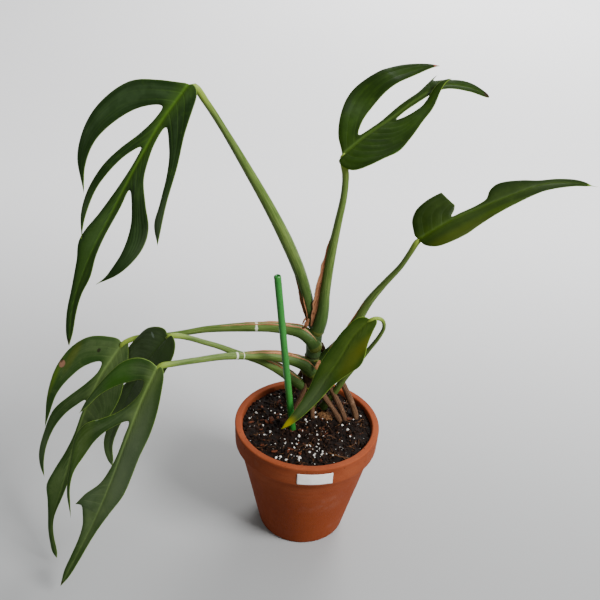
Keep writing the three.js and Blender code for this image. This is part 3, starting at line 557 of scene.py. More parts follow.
# Leaves
def leaf_sheet(leaf, rib, u, v):
    """Places of flat points on the bent middle of a leaf, its normals there, and heights above it."""
    centre, tangent = rib.at(u)
    t = np.clip(u / rib.length, 0, 1)[:, None]
    foot, tip = (np.asarray(f, float) for f in leaf["face"])
    normal = blend(foot, tip, t)
    normal = unit(normal - tangent * (normal * tangent).sum(axis=1, keepdims=True))
    side = np.cross(tangent, normal)
    reach = np.abs(v)
    bend = leaf["fold"] - leaf["arch"] * reach
    out = (math.sin(leaf["fold"]) - np.sin(bend)) / leaf["arch"]
    wave = 1.6 * np.minimum(reach / 40, 1) * np.sin(u / 9 + 0.7 * np.sign(v)) * np.sin(reach / 14)
    up = (np.cos(bend) - math.cos(leaf["fold"])) / leaf["arch"] + wave
    if "overlap" in leaf:
        over = leaf["overlap"]
        lies = (np.sign(v) == over["side"]) & (reach > over["beyond"]) & (u < over["to_u"] + 0.5)
        share = np.where(lies, smoothstep(u, over["from_u"], over["to_u"]), 0)
        out = out - share * over["slide"]
        up = up + share * over["lift"]
    return centre + side * (np.sign(v) * out)[:, None], normal, up


def leaf_points(leaf, length, halves):
    """Flat points of a blade with the edges that hold its outline and midrib: the outline comes first."""
    outline = np.vstack([halves[0][1], halves[1][1][::-1][1:-1]])
    closed = np.vstack([outline, outline[:1]])
    rib_count = int(round(length / EDGE_STEP))
    rib_points = columns(np.linspace(leaf["left"][0][0][0], length, rib_count + 1)[1:-1], 0)
    inner = []
    for v in (0.55, 1.2, 2.1, -0.55, -1.2, -2.1):
        inner.append(columns(np.arange(-2 + (abs(v) * 3 % 1), length, EDGE_STEP), v))
    for row, v in enumerate(np.arange(3.3, 50, INNER_STEP * 0.87)):
        u = np.arange(-12 + (row % 2) * INNER_STEP / 2, length, INNER_STEP)
        inner += [columns(u, v), columns(u, -v)]
    inner = np.vstack(inner)
    inner = inner[inside(inner, outline)]
    inner = inner[off_line(inner, closed) > 0.75]
    direction = unit(np.roll(outline, -1, axis=0) - np.roll(outline, 1, axis=0))
    ledge = outline + columns(direction[:, 1], -direction[:, 0]) * LEDGE
    ledge = ledge[inside(ledge, outline)]
    ledge = ledge[(off_line(ledge, closed) > 0.5) & (np.abs(ledge[:, 1]) > 0.4)]
    loop = len(outline)
    spine = [0, *range(loop, loop + len(rib_points)), len(halves[0][1]) - 1]
    edges = loop_edges(loop) + list(zip(spine[:-1], spine[1:]))
    return np.vstack([outline, rib_points, ledge, inner]), edges, outline, closed


def leaf_piece(letter, finishes):
    """A blade with rounded margin, sunken midrib, swells between its side veins, and a keel below."""
    leaf = LEAVES[letter]
    rib = Line(leaf["rib"])
    length = rib.length
    halves = []
    for side, sign in (("left", 1), ("right", -1)):
        fine = fine_runs(leaf[side], length)
        edge = np.vstack([evenly(run, EDGE_STEP) for run in fine] + [fine[-1][-1:]])
        halves.append((fine, edge * (1, sign)))
    flat, edges, outline, closed = leaf_points(leaf, length, halves)
    places, corners = triangulated(flat, edges)
    corners = corners[inside(places[corners].mean(axis=1), outline)]

    u, v = places[:, 0], places[:, 1]
    out = np.abs(v)
    margin = off_line(places, closed)
    flow, gap = np.zeros(len(places)), np.full(len(places), 4.0)
    for (fine, _), sign in zip(halves, (1, -1)):
        own = (v * sign > 0) | ((out < 1e-6) & (sign > 0))
        flow[own], gap[own] = stream(places[own] * (1, sign), lobes_of(fine, length))
    centre, normal, up = leaf_sheet(leaf, rib, u, v)

    share = np.clip(u / length, 0, 1)
    width = blend(2.3, 0.8, share)
    groove = GROOVE_DEPTH * blend(1, 0.35, share) * bell(v, 0.55 * width) * smoothstep(length - u, 0, 25)
    fade = smoothstep(margin, 0.3, 4) * smoothstep(out, 1.5, 7)
    swell = -QUILT * np.cos(TURN * flow) * np.clip(gap / 7, 0.1, 1.2) * fade
    soft = ripple(columns(u * 0.7, v, 0), 13, 3 + ord(letter)) * 0.55 * smoothstep(margin, 0, 8)
    curl = -0.35 * (1 - smoothstep(margin, 0, 2.2))
    level = up + swell + soft + curl
    half = BLADE_HALF * np.sqrt(1 - (1 - np.clip(margin / 0.5, 0, 1)) ** 2)
    keel = RIDGE_DEPTH * (1 - 0.85 * share) * bell(v, 0.5 * width) * smoothstep(length - u, 0, 12)
    keel = keel * smoothstep(margin, 0, 1.2)

    on_edge = margin < ON_EDGE
    top = centre + normal * (level + half - groove)[:, None]
    bottom = centre + normal * (level - half - keel)[:, None]
    values = {"rib": out / width, "out": out, "flow": flow, "gap": gap, "margin": margin, "u": u, "v": v}
    values = {key: both(numbers, on_edge) for key, numbers in values.items()}
    faces = two_sides(corners[:, ::-1], on_edge)
    sides = np.repeat([0, 1], len(corners))
    points = np.vstack([top, bottom[~on_edge]])
    dress(make_mesh(f"leaf_{letter}", points, faces, values, finishes, sides), "leaf", f"blade_{letter}")


# Finishes
def tone(red, green, blue):
    """A colour as the eye reads it, from 0 to 255, as the shader needs it."""
    parts = (c / 255 for c in (red, green, blue))
    return tuple(c / 12.92 if c <= 0.04045 else ((c + 0.055) / 1.055) ** 2.4 for c in parts) + (1.0,)


class Wire:
    """A node's output, which adds the nodes for a sum when it is reckoned with."""

    def __init__(self, paint, socket):
        self.paint, self.socket = paint, socket

    def __add__(self, other):
        return self.paint.math("ADD", self, other)

    def __sub__(self, other):
        return self.paint.math("SUBTRACT", self, other)

    def __mul__(self, other):
        return self.paint.math("MULTIPLY", self, other)

    def __truediv__(self, other):
        return self.paint.math("DIVIDE", self, other)

    def __abs__(self):
        return self.paint.math("ABSOLUTE", self)


class Paint:
    """A material that is laid on in coats: colours over each other, and reliefs over each other."""

    def __init__(self, name, **fixed):
        self.material = bpy.data.materials.new(name)
        self.material.use_nodes = True
        self.tree = self.material.node_tree
        self.shader = self.tree.nodes["Principled BSDF"]
        self.colour = None
        self.relief = None
        self.put(self.shader, "Specular IOR Level", 0.14)
        for key, number in fixed.items():
            self.put(self.shader, key.replace("_", " "), number)

    def put(self, node, key, source):
        if isinstance(source, Wire):
            self.tree.links.new(source.socket, node.inputs[key])
        else:
            node.inputs[key].default_value = source

    def add(self, kind, out=0, **inputs):
        node = self.tree.nodes.new("ShaderNode" + kind)
        for key, source in inputs.items():
            self.put(node, key.replace("_", " "), source)
        return Wire(self, node.outputs[out])

    def value(self, name):
        wire = self.add("Attribute", "Fac")
        wire.socket.node.attribute_name = name
        return wire

    def place(self):
        return self.add("TexCoord", "Object")

    def math(self, kind, *numbers):
        wire = self.add("Math")
        wire.socket.node.operation = kind
        for k, number in enumerate(numbers):
            self.put(wire.socket.node, k, number)
        return wire

    def step(self, source, low, high, start=0.0, end=1.0):
        """A soft step of a number from start to end as it goes from low to high."""
        wire = self.add("MapRange", "Result", Value=source, From_Min=low, From_Max=high,
                        To_Min=start, To_Max=end)
        wire.socket.node.interpolation_type = "SMOOTHSTEP"
        return wire

    def mix(self, share, first, second):
        wire = self.add("Mix", 2, Factor=share)
        wire.socket.node.data_type = "RGBA"
        self.put(wire.socket.node, 6, first)
        self.put(wire.socket.node, 7, second)
        return wire

    def base(self, share, first, second):
        self.colour = self.mix(share, first, second)

    def over(self, share, colour):
        self.colour = self.mix(share, self.colour, colour)

    def noise(self, scale, detail=3.0, rough=0.55, place=None, stretch=None):
        source = place or self.place()
        if stretch is not None:
            source = self.add("Mapping", Vector=source, Scale=stretch)
        return self.add("TexNoise", "Fac", Vector=source, Scale=scale, Detail=detail, Roughness=rough)

    def vector(self, x, y, z):
        return self.add("CombineXYZ", X=x, Y=y, Z=z)

    def bump(self, height, distance, strength=1.0):
        coat = self.add("Bump", Height=height, Distance=distance, Strength=strength)
        if self.relief is not None:
            self.put(coat.socket.node, "Normal", self.relief)
        self.relief = coat

    def finish(self, rough):
        self.put(self.shader, "Base Color", self.colour)
        self.put(self.shader, "Roughness", rough)
        if self.relief is not None:
            self.put(self.shader, "Normal", self.relief)
        return self.material

    def spot(self, middle, size, tinted, share, grain, edge=0.35):
        """A patch with a ragged rim round a flat place of a leaf, in millimetres: a mark of the leaf's own
        colour, or a patch of painted sheen.
        """
        du = (self.value("u") - middle[0]) / size[0]
        dv = (self.value("v") - middle[1]) / size[1]
        ragged = self.math("SQRT", du * du + dv * dv) + grain * 0.5
        self.over(self.step(ragged, 1.25 * edge, 1.25, share, 0.0), tinted)

    def side_veins(self, low, high):
        """Lines at each whole number of the flow, from their middle to a distance in millimetres."""
        off = abs(self.math("FRACT", self.value("flow") + 0.5) - 0.5) * self.value("gap")
        return self.step(off, low, high, 1, 0)

    def strands(self):
        """The streaked look of a plant's rod, by its length and the angle round it."""
        around = self.value("round") * TURN
        place = self.vector(
            self.math("COSINE", around) * 4.0, self.math("SINE", around) * 4.0, self.value("length") * 0.035)
        return self.noise(1.6, 4, 0.6, place)


def leaf_upper(letter, dark, light, rib, glow=0.2, line=0.6, veins=0.2, rim=0.5, gloss=0.12,
               patches=(), spots=()):
    """The upper side: mottled deep green, a pale midrib and side veins, a thin pale margin, and painted
    sheen.
    """
    paint = Paint(f"leaf_{letter}_upper", IOR=1.45, Specular_IOR_Level=gloss)
    u, v, margin = paint.value("u"), paint.value("v"), paint.value("margin")
    broad = paint.noise(26, 2, 0.5)
    fine = paint.noise(420, 3, 0.6)
    mottle = paint.noise(130, 4, 0.62)
    # the blade is streaked along its veins
    streak = paint.noise(1, 3, 0.6, paint.vector(paint.value("flow") * 2.6, u * 0.02, v * 0.02))
    # painted sheen and shade: the margin term lightens the middles of the lobes and darkens the blade towards
    # its margin
    tint = broad * 0.6 + streak * 0.4 + paint.step(margin, 1.0, 8.0, -0.1, 0.06)
    paint.base(paint.step(tint, 0.36, 0.64), dark, light)
    paint.over(paint.step(fine, 0.45, 0.8, 0, 0.2), light)
    paint.over(paint.step(mottle, 0.36, 0.54, 0.34, 0), dark)
    paint.over(paint.step(mottle, 0.54, 0.74, 0, 0.14), rib)

    # side veins are stronger near the midrib, which glows softly at its sides
    vein = paint.side_veins(0.1, 0.75)
    strength = paint.step(paint.value("out"), 3, 26, veins, veins * 0.25) * paint.step(margin, 0.5, 4)
    paint.over(vein * strength, rib)
    off_rib = paint.value("rib")
    paint.over(paint.step(off_rib, 0.6, 4.2, glow, 0) * paint.step(u, 15, 130, 1, 0.12), rib)
    paint.over(paint.step(off_rib, 0.3, 1.0, line, 0) * paint.step(u, 40, 170, 1, 0.4), rib)
    # patches in the leaf's own colours, and painted sheen where a patch uses GREY_SHEEN
    for patch in patches:
        paint.spot(*patch, broad)
    for spot in spots:
        paint.spot(*spot, fine, 0.75)
    paint.over(paint.step(margin, 0.12, 0.6, rim, 0), PALE_EDGE)

    paint.bump(vein * -1.0, 0.00015, 0.5)
    paint.bump(streak, 0.0003, 0.3)
    paint.bump(fine, 0.00008, 0.4)
    return paint.finish(paint.step(paint.noise(60, 3, 0.6), 0.3, 0.7, 0.36, 0.5) + vein * 0.08)


def leaf_under(letter, pale, rib):
    """The underside: duller and paler, with the keel of the midrib and raised side veins."""
    paint = Paint(f"leaf_{letter}_under", IOR=1.4)
    paler = tuple(c * 1.25 for c in pale[:3]) + (1.0,)
    paint.base(paint.step(paint.noise(35, 3, 0.5), 0.35, 0.65), pale, paler)
    vein = paint.side_veins(0.15, 0.85)
    paint.over(vein * paint.step(paint.value("out"), 4, 45, 0.4, 0.12), rib)
    paint.over(paint.step(paint.value("rib"), 0.6, 1.3, 0.9, 0), rib)
    paint.over(paint.step(paint.value("margin"), 0.25, 0.9, 0.7, 0), PALE_EDGE)
    paint.bump(vein, 0.0003, 0.7)
    paint.bump(paint.noise(500, 2, 0.5), 0.00008, 0.5)
    return paint.finish(paint.step(paint.noise(90, 2, 0.5), 0.3, 0.7, 0.55, 0.68))


def stalk_finish(letter, scars):
    """Smooth green, with a darker foot, a yellow knee and old pale scars at (place, width)."""
    paint = Paint(f"stalk_{letter}", IOR=1.45)
    along = paint.value("along")
    streak = paint.strands()
    paint.base(paint.step(streak, 0.36, 0.64), tone(62, 84, 32), tone(94, 112, 54))
    paint.over(paint.step(along, 0.04, 0.42, 0.8, 0), tone(46, 70, 30))
    paint.over(paint.step(along, 0.86, 0.985, 0, 0.85), tone(122, 142, 52))
    paint.over(paint.step(paint.noise(700, 2, 0.7), 0.66, 0.74, 0, 0.4), tone(150, 164, 116))
    paint.over(paint.step(along, 0.006, 0.016, 0.55, 0), tone(104, 108, 44))
    for place, width in scars:
        ragged = abs(along - place) + paint.noise(260, 3, 0.7) * width
        paint.over(paint.step(ragged, width * 0.75, width * 1.05, 0.8, 0), tone(206, 210, 190))
    paint.bump(streak, 0.0004, 0.5)
    paint.bump(paint.noise(600, 2, 0.6), 0.0001, 0.5)
    return paint.finish(paint.step(streak, 0.3, 0.7, 0.38, 0.5))


def stem_finish():
    """Green skin, brown below, with yellow rings at the nodes and dark creases above them."""
    paint = Paint("stem_skin", IOR=1.45)
    blotch = paint.noise(150, 4, 0.65)
    paint.base(paint.step(paint.strands(), 0.36, 0.64), tone(44, 66, 28), tone(60, 82, 40))
    paint.over(paint.step(blotch, 0.35, 0.65, 0, 0.7), tone(68, 86, 52))
    brown = paint.mix(paint.step(blotch, 0.4, 0.6), tone(26, 16, 10), tone(58, 38, 24))
    paint.over(paint.step(paint.value("length") + blotch * 26.0, 74, 92, 1, 0), brown)
    broken = paint.step(paint.noise(170, 2, 0.5), 0.42, 0.56, 0.15, 0.85)
    paint.over(paint.value("ring") * broken, tone(120, 122, 44))
    paint.over(paint.value("crease") * 0.8, tone(38, 26, 14))
    paint.bump(blotch, 0.0009, 0.6)
    paint.bump(paint.noise(420, 3, 0.6), 0.0003, 0.5)
    return paint.finish(paint.step(blotch, 0.3, 0.7, 0.5, 0.72))


def root_finish():
    paint = Paint("root_bark", IOR=1.4)
    streak = paint.strands()
    blotch = paint.noise(240, 4, 0.7)
    paint.base(paint.step(streak, 0.36, 0.64), tone(56, 36, 26), tone(98, 72, 50))
    paint.over(paint.step(blotch, 0.55, 0.68, 0, 0.6), tone(124, 94, 74))
    paint.over(paint.step(paint.value("along"), 0.86, 1.0, 0, 0.7), tone(48, 32, 24))
    paint.bump(streak, 0.0006, 0.7)
    paint.bump(paint.noise(800, 3, 0.6), 0.0003, 0.6)
    return paint.finish(paint.step(blotch, 0.3, 0.7, 0.68, 0.85))


def paper_finish(name, first, second, flecks):
    """Dry sheath: fibres along it, dark flecks, and a paler ragged rim."""
    paint = Paint(name, IOR=1.35)
    across = paint.value("across")
    fibres = paint.noise(1, 4, 0.65, paint.vector(across * 7.0, paint.value("length") * 0.09, 0.0))
    paint.base(paint.step(fibres, 0.35, 0.65), first, second)
    paint.over(paint.step(across, 0.7, 1.0, 0, 0.5), tone(178, 136, 104))
    paint.over(paint.step(paint.noise(330, 4, 0.75), 0.58, 0.66, 0, flecks), tone(36, 20, 12))
    paint.bump(fibres, 0.0005, 0.8)
    return paint.finish(paint.step(fibres, 0.3, 0.7, 0.55, 0.8))


def clay_finish():
    """Fired clay: mottled, turned in faint rings, with a pale bloom, a few splashes of soil, and painted
    shade on its lower body.
    """
    paint = Paint("terracotta", IOR=1.42)
    height = paint.value("height")
    broad = paint.noise(22, 4, 0.6)
    grain = paint.noise(900, 3, 0.7)
    rings = paint.noise(1, 4, 0.6, stretch=(6, 6, 420))
    paint.base(paint.step(broad, 0.35, 0.65), tone(116, 53, 27), tone(130, 65, 37))
    paint.over(paint.step(rings, 0.4, 0.62, 0, 0.3), tone(118, 51, 25))
    paint.over(paint.step(grain, 0.55, 0.75, 0, 0.22), tone(168, 98, 66))
    # painted shade: the body below the collar is darker and browner, most of all towards its foot
    paint.over(paint.step(height, 40, 94, 0.7, 0.0), tone(112, 48, 20))
    away = paint.add("VectorMath", 1)
    away.socket.node.operation = "DISTANCE"
    paint.put(away.socket.node, 0, paint.place())
    paint.put(away.socket.node, 1, BLOOM_PLACE)
    bloom = paint.step(paint.noise(38, 3, 0.5, stretch=(1, 1, 0.8)), 0.6, 0.76, 0, 0.16)
    bloom = bloom + paint.step(away, 0.003, 0.02, 0.16, 0.0)
    paint.over(bloom * paint.step(paint.noise(120, 4, 0.7), 0.35, 0.65), tone(140, 112, 100))
    splash = paint.step(paint.noise(260, 2, 0.5), 0.7, 0.74) * paint.step(height, 92, 106, 0, 0.85)
    paint.over(splash, tone(34, 16, 8))
    paint.over(paint.value("inside") * 0.6, tone(78, 34, 16))
    paint.bump(rings, 0.0006, 0.4)
    paint.bump(grain, 0.0002, 0.7)
    paint.bump(paint.noise(160, 3, 0.6), 0.0004, 0.35)
    return paint.finish(paint.step(broad, 0.3, 0.7, 0.72, 0.86))


def soil_finish(name, dark, light, size=330):
    paint = Paint(name, IOR=1.4, Specular_IOR_Level=0.15)
    crumbs = paint.noise(size, 5, 0.72)
    paint.base(paint.step(crumbs, 0.42, 0.68), dark, light)
    paint.over(paint.step(paint.noise(45, 3, 0.6), 0.5, 0.7, 0, 0.45), tone(38, 20, 12))
    paint.bump(crumbs, 0.0016, 0.9)
    paint.bump(paint.noise(1300, 3, 0.7), 0.0004, 0.7)
    return paint.finish(paint.step(crumbs, 0.3, 0.7, 0.62, 0.92))


def grit_finish(name, first, second, rough=0.8, size=700):
    paint = Paint(name, IOR=1.4)
    grain = paint.noise(size, 4, 0.65)
    paint.base(paint.step(grain, 0.4, 0.65), first, second)
    paint.over(paint.step(paint.noise(150, 3, 0.6), 0.56, 0.7, 0, 0.5), tone(84, 62, 48))
    paint.bump(grain, 0.0004, 0.8)
    return paint.finish(paint.step(grain, 0.3, 0.7, rough - 0.1, rough + 0.08))


def stake_finish():
    """Clear green plastic, moulded with faint lines along it, scuffed and dusty here and there, a deeper
    green towards its foot, and painted light: paler on the side that faces the key light.
    """
    paint = Paint("stake_plastic", IOR=1.49, Transmission_Weight=0.1, Coat_Weight=0.15)
    # runs round the rod from the side away from the key light (-1) to the side that faces it (1), and lays
    # out the moulded lines
    lit_side = paint.math("SINE", paint.value("round") * TURN + 2.4)
    streak = paint.noise(1.0, 2, 0.5, paint.vector(lit_side, 0.0, paint.value("length") * 0.02))
    scuff = paint.noise(1, 4, 0.7, stretch=(300, 300, 60))
    # painted light and shade: paler green on the side of the rod that faces the key light, darker on the far
    # side
    paint.base(paint.step(lit_side, -0.6, 0.9), tone(24, 90, 30), tone(44, 116, 44))
    paint.over(paint.step(paint.value("along"), 0.02, 0.3, 0.6, 0), tone(10, 62, 16))
    paint.over(paint.step(streak, 0.45, 0.7, 0, 0.3), tone(62, 130, 56))
    paint.over(paint.step(scuff, 0.62, 0.78, 0, 0.12), tone(120, 170, 110))
    paint.bump(streak, 0.0001, 0.3)
    return paint.finish(paint.step(scuff, 0.35, 0.7, 0.25, 0.42))


def label_finish():
    """Plain white paper, a little soft and grubby at its rim."""
    paint = Paint("label_paper", IOR=1.4)
    fibre = paint.noise(1500, 4, 0.6)
    paint.base(paint.step(paint.noise(120, 3, 0.6), 0.35, 0.7), tone(232, 230, 226), tone(218, 215, 211))
    paint.over(paint.step(paint.value("rim"), 0.2, 1.3, 0.35, 0), tone(168, 150, 138))
    paint.bump(fibre, 0.00005, 0.6)
    return paint.finish(paint.step(fibre, 0.3, 0.7, 0.5, 0.62))


def floor_finish():
    """Pale grey with painted light: darker near the camera and round the pot, and paler beyond the plant."""
    paint = Paint("studio_floor")
    depth = paint.add("SeparateXYZ", "Y", Vector=paint.place())
    paint.base(paint.noise(1.3, 2, 0.5), tone(138, 139, 139), tone(144, 145, 145))
    # painted light and shade: a darker grey near the camera grows to a pale grey beyond the plant
    paint.over(paint.step(depth, FLOOR_NEAR, FLOOR_FAR), tone(230, 230, 231))
    return paint.finish(0.75)


# Colours of the leaves, as they look in daylight. A patch or spot is (middle, half size, colour, share),
# by its place along the rib and out from it. The GREY_SHEEN patches are painted sheen.
PALE_EDGE = tone(120, 148, 50)
PINK_TIP = tone(118, 62, 58)
DARK_TIP = tone(34, 24, 14)
YELLOW_GREEN = tone(92, 118, 22)
OLIVE_YELLOW = tone(92, 92, 16)
BRIGHT_GREEN = tone(40, 76, 8)
# painted sheen: a grey highlight laid into a leaf's colour where the blade catches the light
GREY_SHEEN = tone(70, 82, 60)
SCORCH = tone(122, 86, 68)
DARK_MARK = tone(26, 20, 12)
WATER_MARK = tone(120, 134, 120)
LEAF_LOOKS = {
    "a": dict(
        dark=tone(22, 40, 12), light=tone(42, 60, 32), rib=tone(64, 94, 22), glow=0.3, line=0.62,
        patches=[((130, 22), (40, 8), GREY_SHEEN, 0.25), ((100, -34), (50, 9), GREY_SHEEN, 0.3)],
        spots=[((101, 24.5), (3, 3), DARK_TIP, 0.8), ((206, 0), (5, 3), DARK_TIP, 0.7),
               ((105, -41.5), (3.5, 3.5), DARK_TIP, 0.8), ((155, -12), (4, 3), DARK_TIP, 0.7)]),
    "b": dict(
        dark=tone(17, 33, 1), light=tone(29, 48, 6), rib=tone(62, 84, 26), glow=0.08, line=0.4, veins=0.1,
        gloss=0.05, rim=0.7,
        patches=[((40, 34), (50, 9), BRIGHT_GREEN, 0.45)],
        spots=[((120.5, -20.5), (4.5, 4), PINK_TIP, 0.95), ((167, 0), (6, 4), DARK_TIP, 0.95),
               ((117, -11), (5, 3), DARK_TIP, 0.5)]),
    "c": dict(
        dark=tone(16, 30, 3), light=tone(30, 44, 10), rib=tone(54, 74, 16), line=0.4, veins=0.06, gloss=0.06,
        patches=[((28, 14), (70, 9), tone(62, 72, 14), 0.42), ((75, 8), (40, 4), YELLOW_GREEN, 0.12)],
        spots=[((166, 0), (8, 4), YELLOW_GREEN, 0.6), ((35, -25), (2, 2), DARK_TIP, 0.6)]),
    "d": dict(
        dark=tone(32, 54, 9), light=tone(52, 70, 22), rib=tone(66, 84, 24), glow=0.1, line=0.3, veins=0.1,
        rim=0.85,
        patches=[((16, -12), (26, 7), OLIVE_YELLOW, 0.4), ((36, -9), (30, 9), OLIVE_YELLOW, 0.34),
                 ((90, 0), (36, 8), GREY_SHEEN, 0.4), ((124, 0), (17, 8), tone(140, 130, 14), 0.85)]),
    "e": dict(
        dark=tone(34, 56, 20), light=tone(60, 76, 42), rib=tone(92, 112, 58), glow=0.3, veins=0.15,
        patches=[((60, 39), (34, 5), YELLOW_GREEN, 0.3), ((30, 32), (20, 5), OLIVE_YELLOW, 0.25),
                 ((110, 28), (30, 8), GREY_SHEEN, 0.3)],
        spots=[((40, 37), (3.4, 3.2), SCORCH, 0.9), ((38, 38.5), (2, 1.4), DARK_MARK, 0.6),
               ((16, 14), (2.2, 1.6), DARK_MARK, 0.8)]),
    "f": dict(
        dark=tone(50, 68, 30), light=tone(70, 88, 54), rib=tone(58, 80, 34), glow=0.25, line=0.5, veins=0.16,
        patches=[((20, -10), (34, 12), tone(54, 76, 34), 0.6)],
        spots=[((14, 12), (1.4, 3.6), WATER_MARK, 0.6)]),
    "g": dict(
        dark=tone(32, 52, 18), light=tone(58, 72, 44), rib=tone(92, 112, 56), glow=0.3, line=0.62, veins=0.12,
        patches=[((26, 24), (34, 16), BRIGHT_GREEN, 0.55), ((86, -8), (80, 14), GREY_SHEEN, 0.6),
                 ((80, 34), (40, 9), YELLOW_GREEN, 0.12), ((120, 14), (40, 14), GREY_SHEEN, 0.35)],
        spots=[((60, 30), (2, 3), WATER_MARK, 0.3), ((208, 0), (4, 3), DARK_TIP, 0.8)]),
}
STALK_SCARS = {"e": [(0.33, 0.016)], "g": [(0.52, 0.014), (0.48, 0.006)]}

# Wings of the dry sheaths: where each starts and ends on its stalk, which way it stands, how far, how
# it curls, and its seed
WINGS = {
    "a": [(0.03, 0.36, (-0.9, -0.42, 0.05), 2.6, 0.35, 1), (0.04, 0.27, (-0.5, -0.86, 0.0), 1.9, -0.7, 2)],
    "b": [(0.04, 0.62, (-0.97, -0.2, 0.1), 6.0, 0.25, 3)],
    "c": [(0.14, 0.46, (-0.7, -0.35, 0.6), 2.6, 0.4, 5)],
    "e": [(0.06, 0.52, (0, -0.45, 0.9), 2.0, 0.5, 6), (0.06, 0.5, (0, 0.5, 0.9), 1.8, -0.4, 7)],
    "f": [(0.08, 0.42, (0.3, -0.45, 0.9), 1.9, 0.5, 8), (0.08, 0.4, (0.3, 0.5, 0.9), 1.7, -0.4, 9)],
    "g": [(0.0, 0.5, (0.1, -0.45, 0.95), 2.0, 0.5, 10), (0.06, 0.48, (0.1, 0.45, 0.95), 1.8, -0.4, 11)],
}
BROWN_SHEATHS = "abc"
# Torn scraps of the sheaths: path, half width and seed
SCRAPS = {
    "b": [([(-9.5, 17, 199), (-7, 15, 202.5), (-6, 14.4, 207), (-4.6, 14.2, 211)], 1.5, 1),
          ([(-9.6, 16, 204), (-9, 15, 206.5), (-8, 15, 209), (-7.4, 15.5, 211)], 0.7, 5)],
    "g": [([(4.4, 11.6, 160.5), (5.8, 12, 163), (7, 13, 165.5), (7.4, 14.4, 168.5)], 2.1, 3)],
}


# Stalks, stem and roots
def stalk_piece(letter, finish):
    """A stalk, carried on under the midrib so that the two grow into each other."""
    leaf = LEAVES[letter]
    centre, normal, _ = leaf_sheet(leaf, Line(leaf["rib"]), np.array([4.0, 13.0, 26.0]), np.zeros(3))
    tail = np.column_stack([centre - normal * np.array([[1.95], [1.75], [1.3]]), (1.3, 1.0, 0.5)])
    knee = Line(STALKS[letter]).length

    def shape(s, angle):
        swell = 0.16 * bell(s - knee + 7, 6) + 0.05 * bell(s - knee + 16, 3)
        ridges = 0.018 * np.cos(5 * angle + 0.02 * s) + 0.012 * np.cos(9 * angle - 0.03 * s)
        bulge = 0.03 * np.sin(s / 23 + ord(letter)) * np.cos(angle + 1)
        return 1 + swell + ridges + bulge

    line = Line(np.vstack([STALKS[letter], tail]))
    points, faces, values = tube(line, around=22, step=STALK_STEP, shape=shape)
    values["along"] = np.clip(values["length"] / knee, 0, 1)
    dress(make_mesh(f"petiole_{letter}", points, faces, values, [finish]), "stalk", f"stalk_{letter}")


def stem_piece(finish):
    """The stem, with a bead and a crease at each node."""
    line = Line(STEM)
    rings = np.interp(STEM_RINGS, line.path[:, 2], line.arc)

    def bead(s, width, shift=0.0):
        return sum(bell(s - ring - shift, width) for ring in rings)

    def shape(s, angle):
        knots = 0.05 * np.sin(angle * 2 + s / 7) + 0.03 * np.sin(angle * 3 - s / 5)
        return 1 + 0.1 * bead(s, 1.1) - 0.07 * bead(s, 0.8, 1.9) + knots

    points, faces, values = tube(line, around=40, step=0.8, shape=shape)
    points = roughened(line, points, values, size=5, seed=2, depth=0.45)
    values["ring"] = np.clip(bead(values["length"], 0.9), 0, 1)
    values["crease"] = np.clip(bead(values["length"], 0.7, 1.9), 0, 1)
    dress(make_mesh("stem_core", points, faces, values, [finish]), "stem", "stem")


def root_piece(name, finish):
    """A knobbly aerial root."""
    line = Line(ROOTS[name])
    seed = int(name[-1])

    def shape(s, angle):
        return 1 + 0.06 * np.sin(s / 3.1 + seed) + 0.05 * np.cos(2 * angle + s / 6)

    points, faces, values = tube(line, around=16, step=1.1, shape=shape)
    points = roughened(line, points, values, size=2.6, seed=seed, depth=0.28)
    dress(make_mesh(f"aerial_{name}", points, faces, values, [finish]), "root", name)


# Dry sheaths
def wing(letter, start, end, wide, reach, curl, seed):
    """A thin dry wing that stands on a stalk, with a ragged rim that curls over."""
    pts = np.asarray(STALKS[letter], float)
    rows, across = 70, 7
    share = np.linspace(0, 1, rows)
    t = blend(start, end, share)
    centre = through(pts[:, :3], t)
    tangent = unit(np.gradient(centre, axis=0))
    half = np.interp(t, np.linspace(0, 1, len(pts)), pts[:, 3])
    out = np.asarray(wide, float)[None, :]
    out = unit(out - tangent * (tangent * out).sum(axis=1, keepdims=True))
    side = np.cross(tangent, out)
    length = arc_of(centre)
    ragged = ripple(columns(length, 0, seed), 9, seed) * 0.35
    ragged = ragged + ripple(columns(length, 0, 0), 2.2, seed + 5) * 0.08
    height = (0.35 + reach * np.sin(math.pi * (0.14 + 0.86 * share))) * (1 + ragged)
    lean = curl * (0.7 + 0.5 * np.sin(length / 9 + seed))
    ring = [(k / (across - 1), 1) for k in range(across)]
    ring += [(x, -1) for x, _ in ring[-2::-1]]
    points = []
    for x, face in ring:
        thick = blend(0.3, 0.07, x) * face * (x < 1)
        drift = lean * height * x * x + 0.12 * np.sin(length / 2.3 + 3 * x)
        points.append(centre + out * (half * 0.82 + height * x)[:, None] + side * (drift + thick)[:, None])
    points = np.stack(points, axis=1).reshape(-1, 3)
    values = {"across": np.tile([x for x, _ in ring], rows), "length": np.repeat(length, len(ring))}
    return points, [tuple(reversed(f)) for f in skin(rows, len(ring))], values


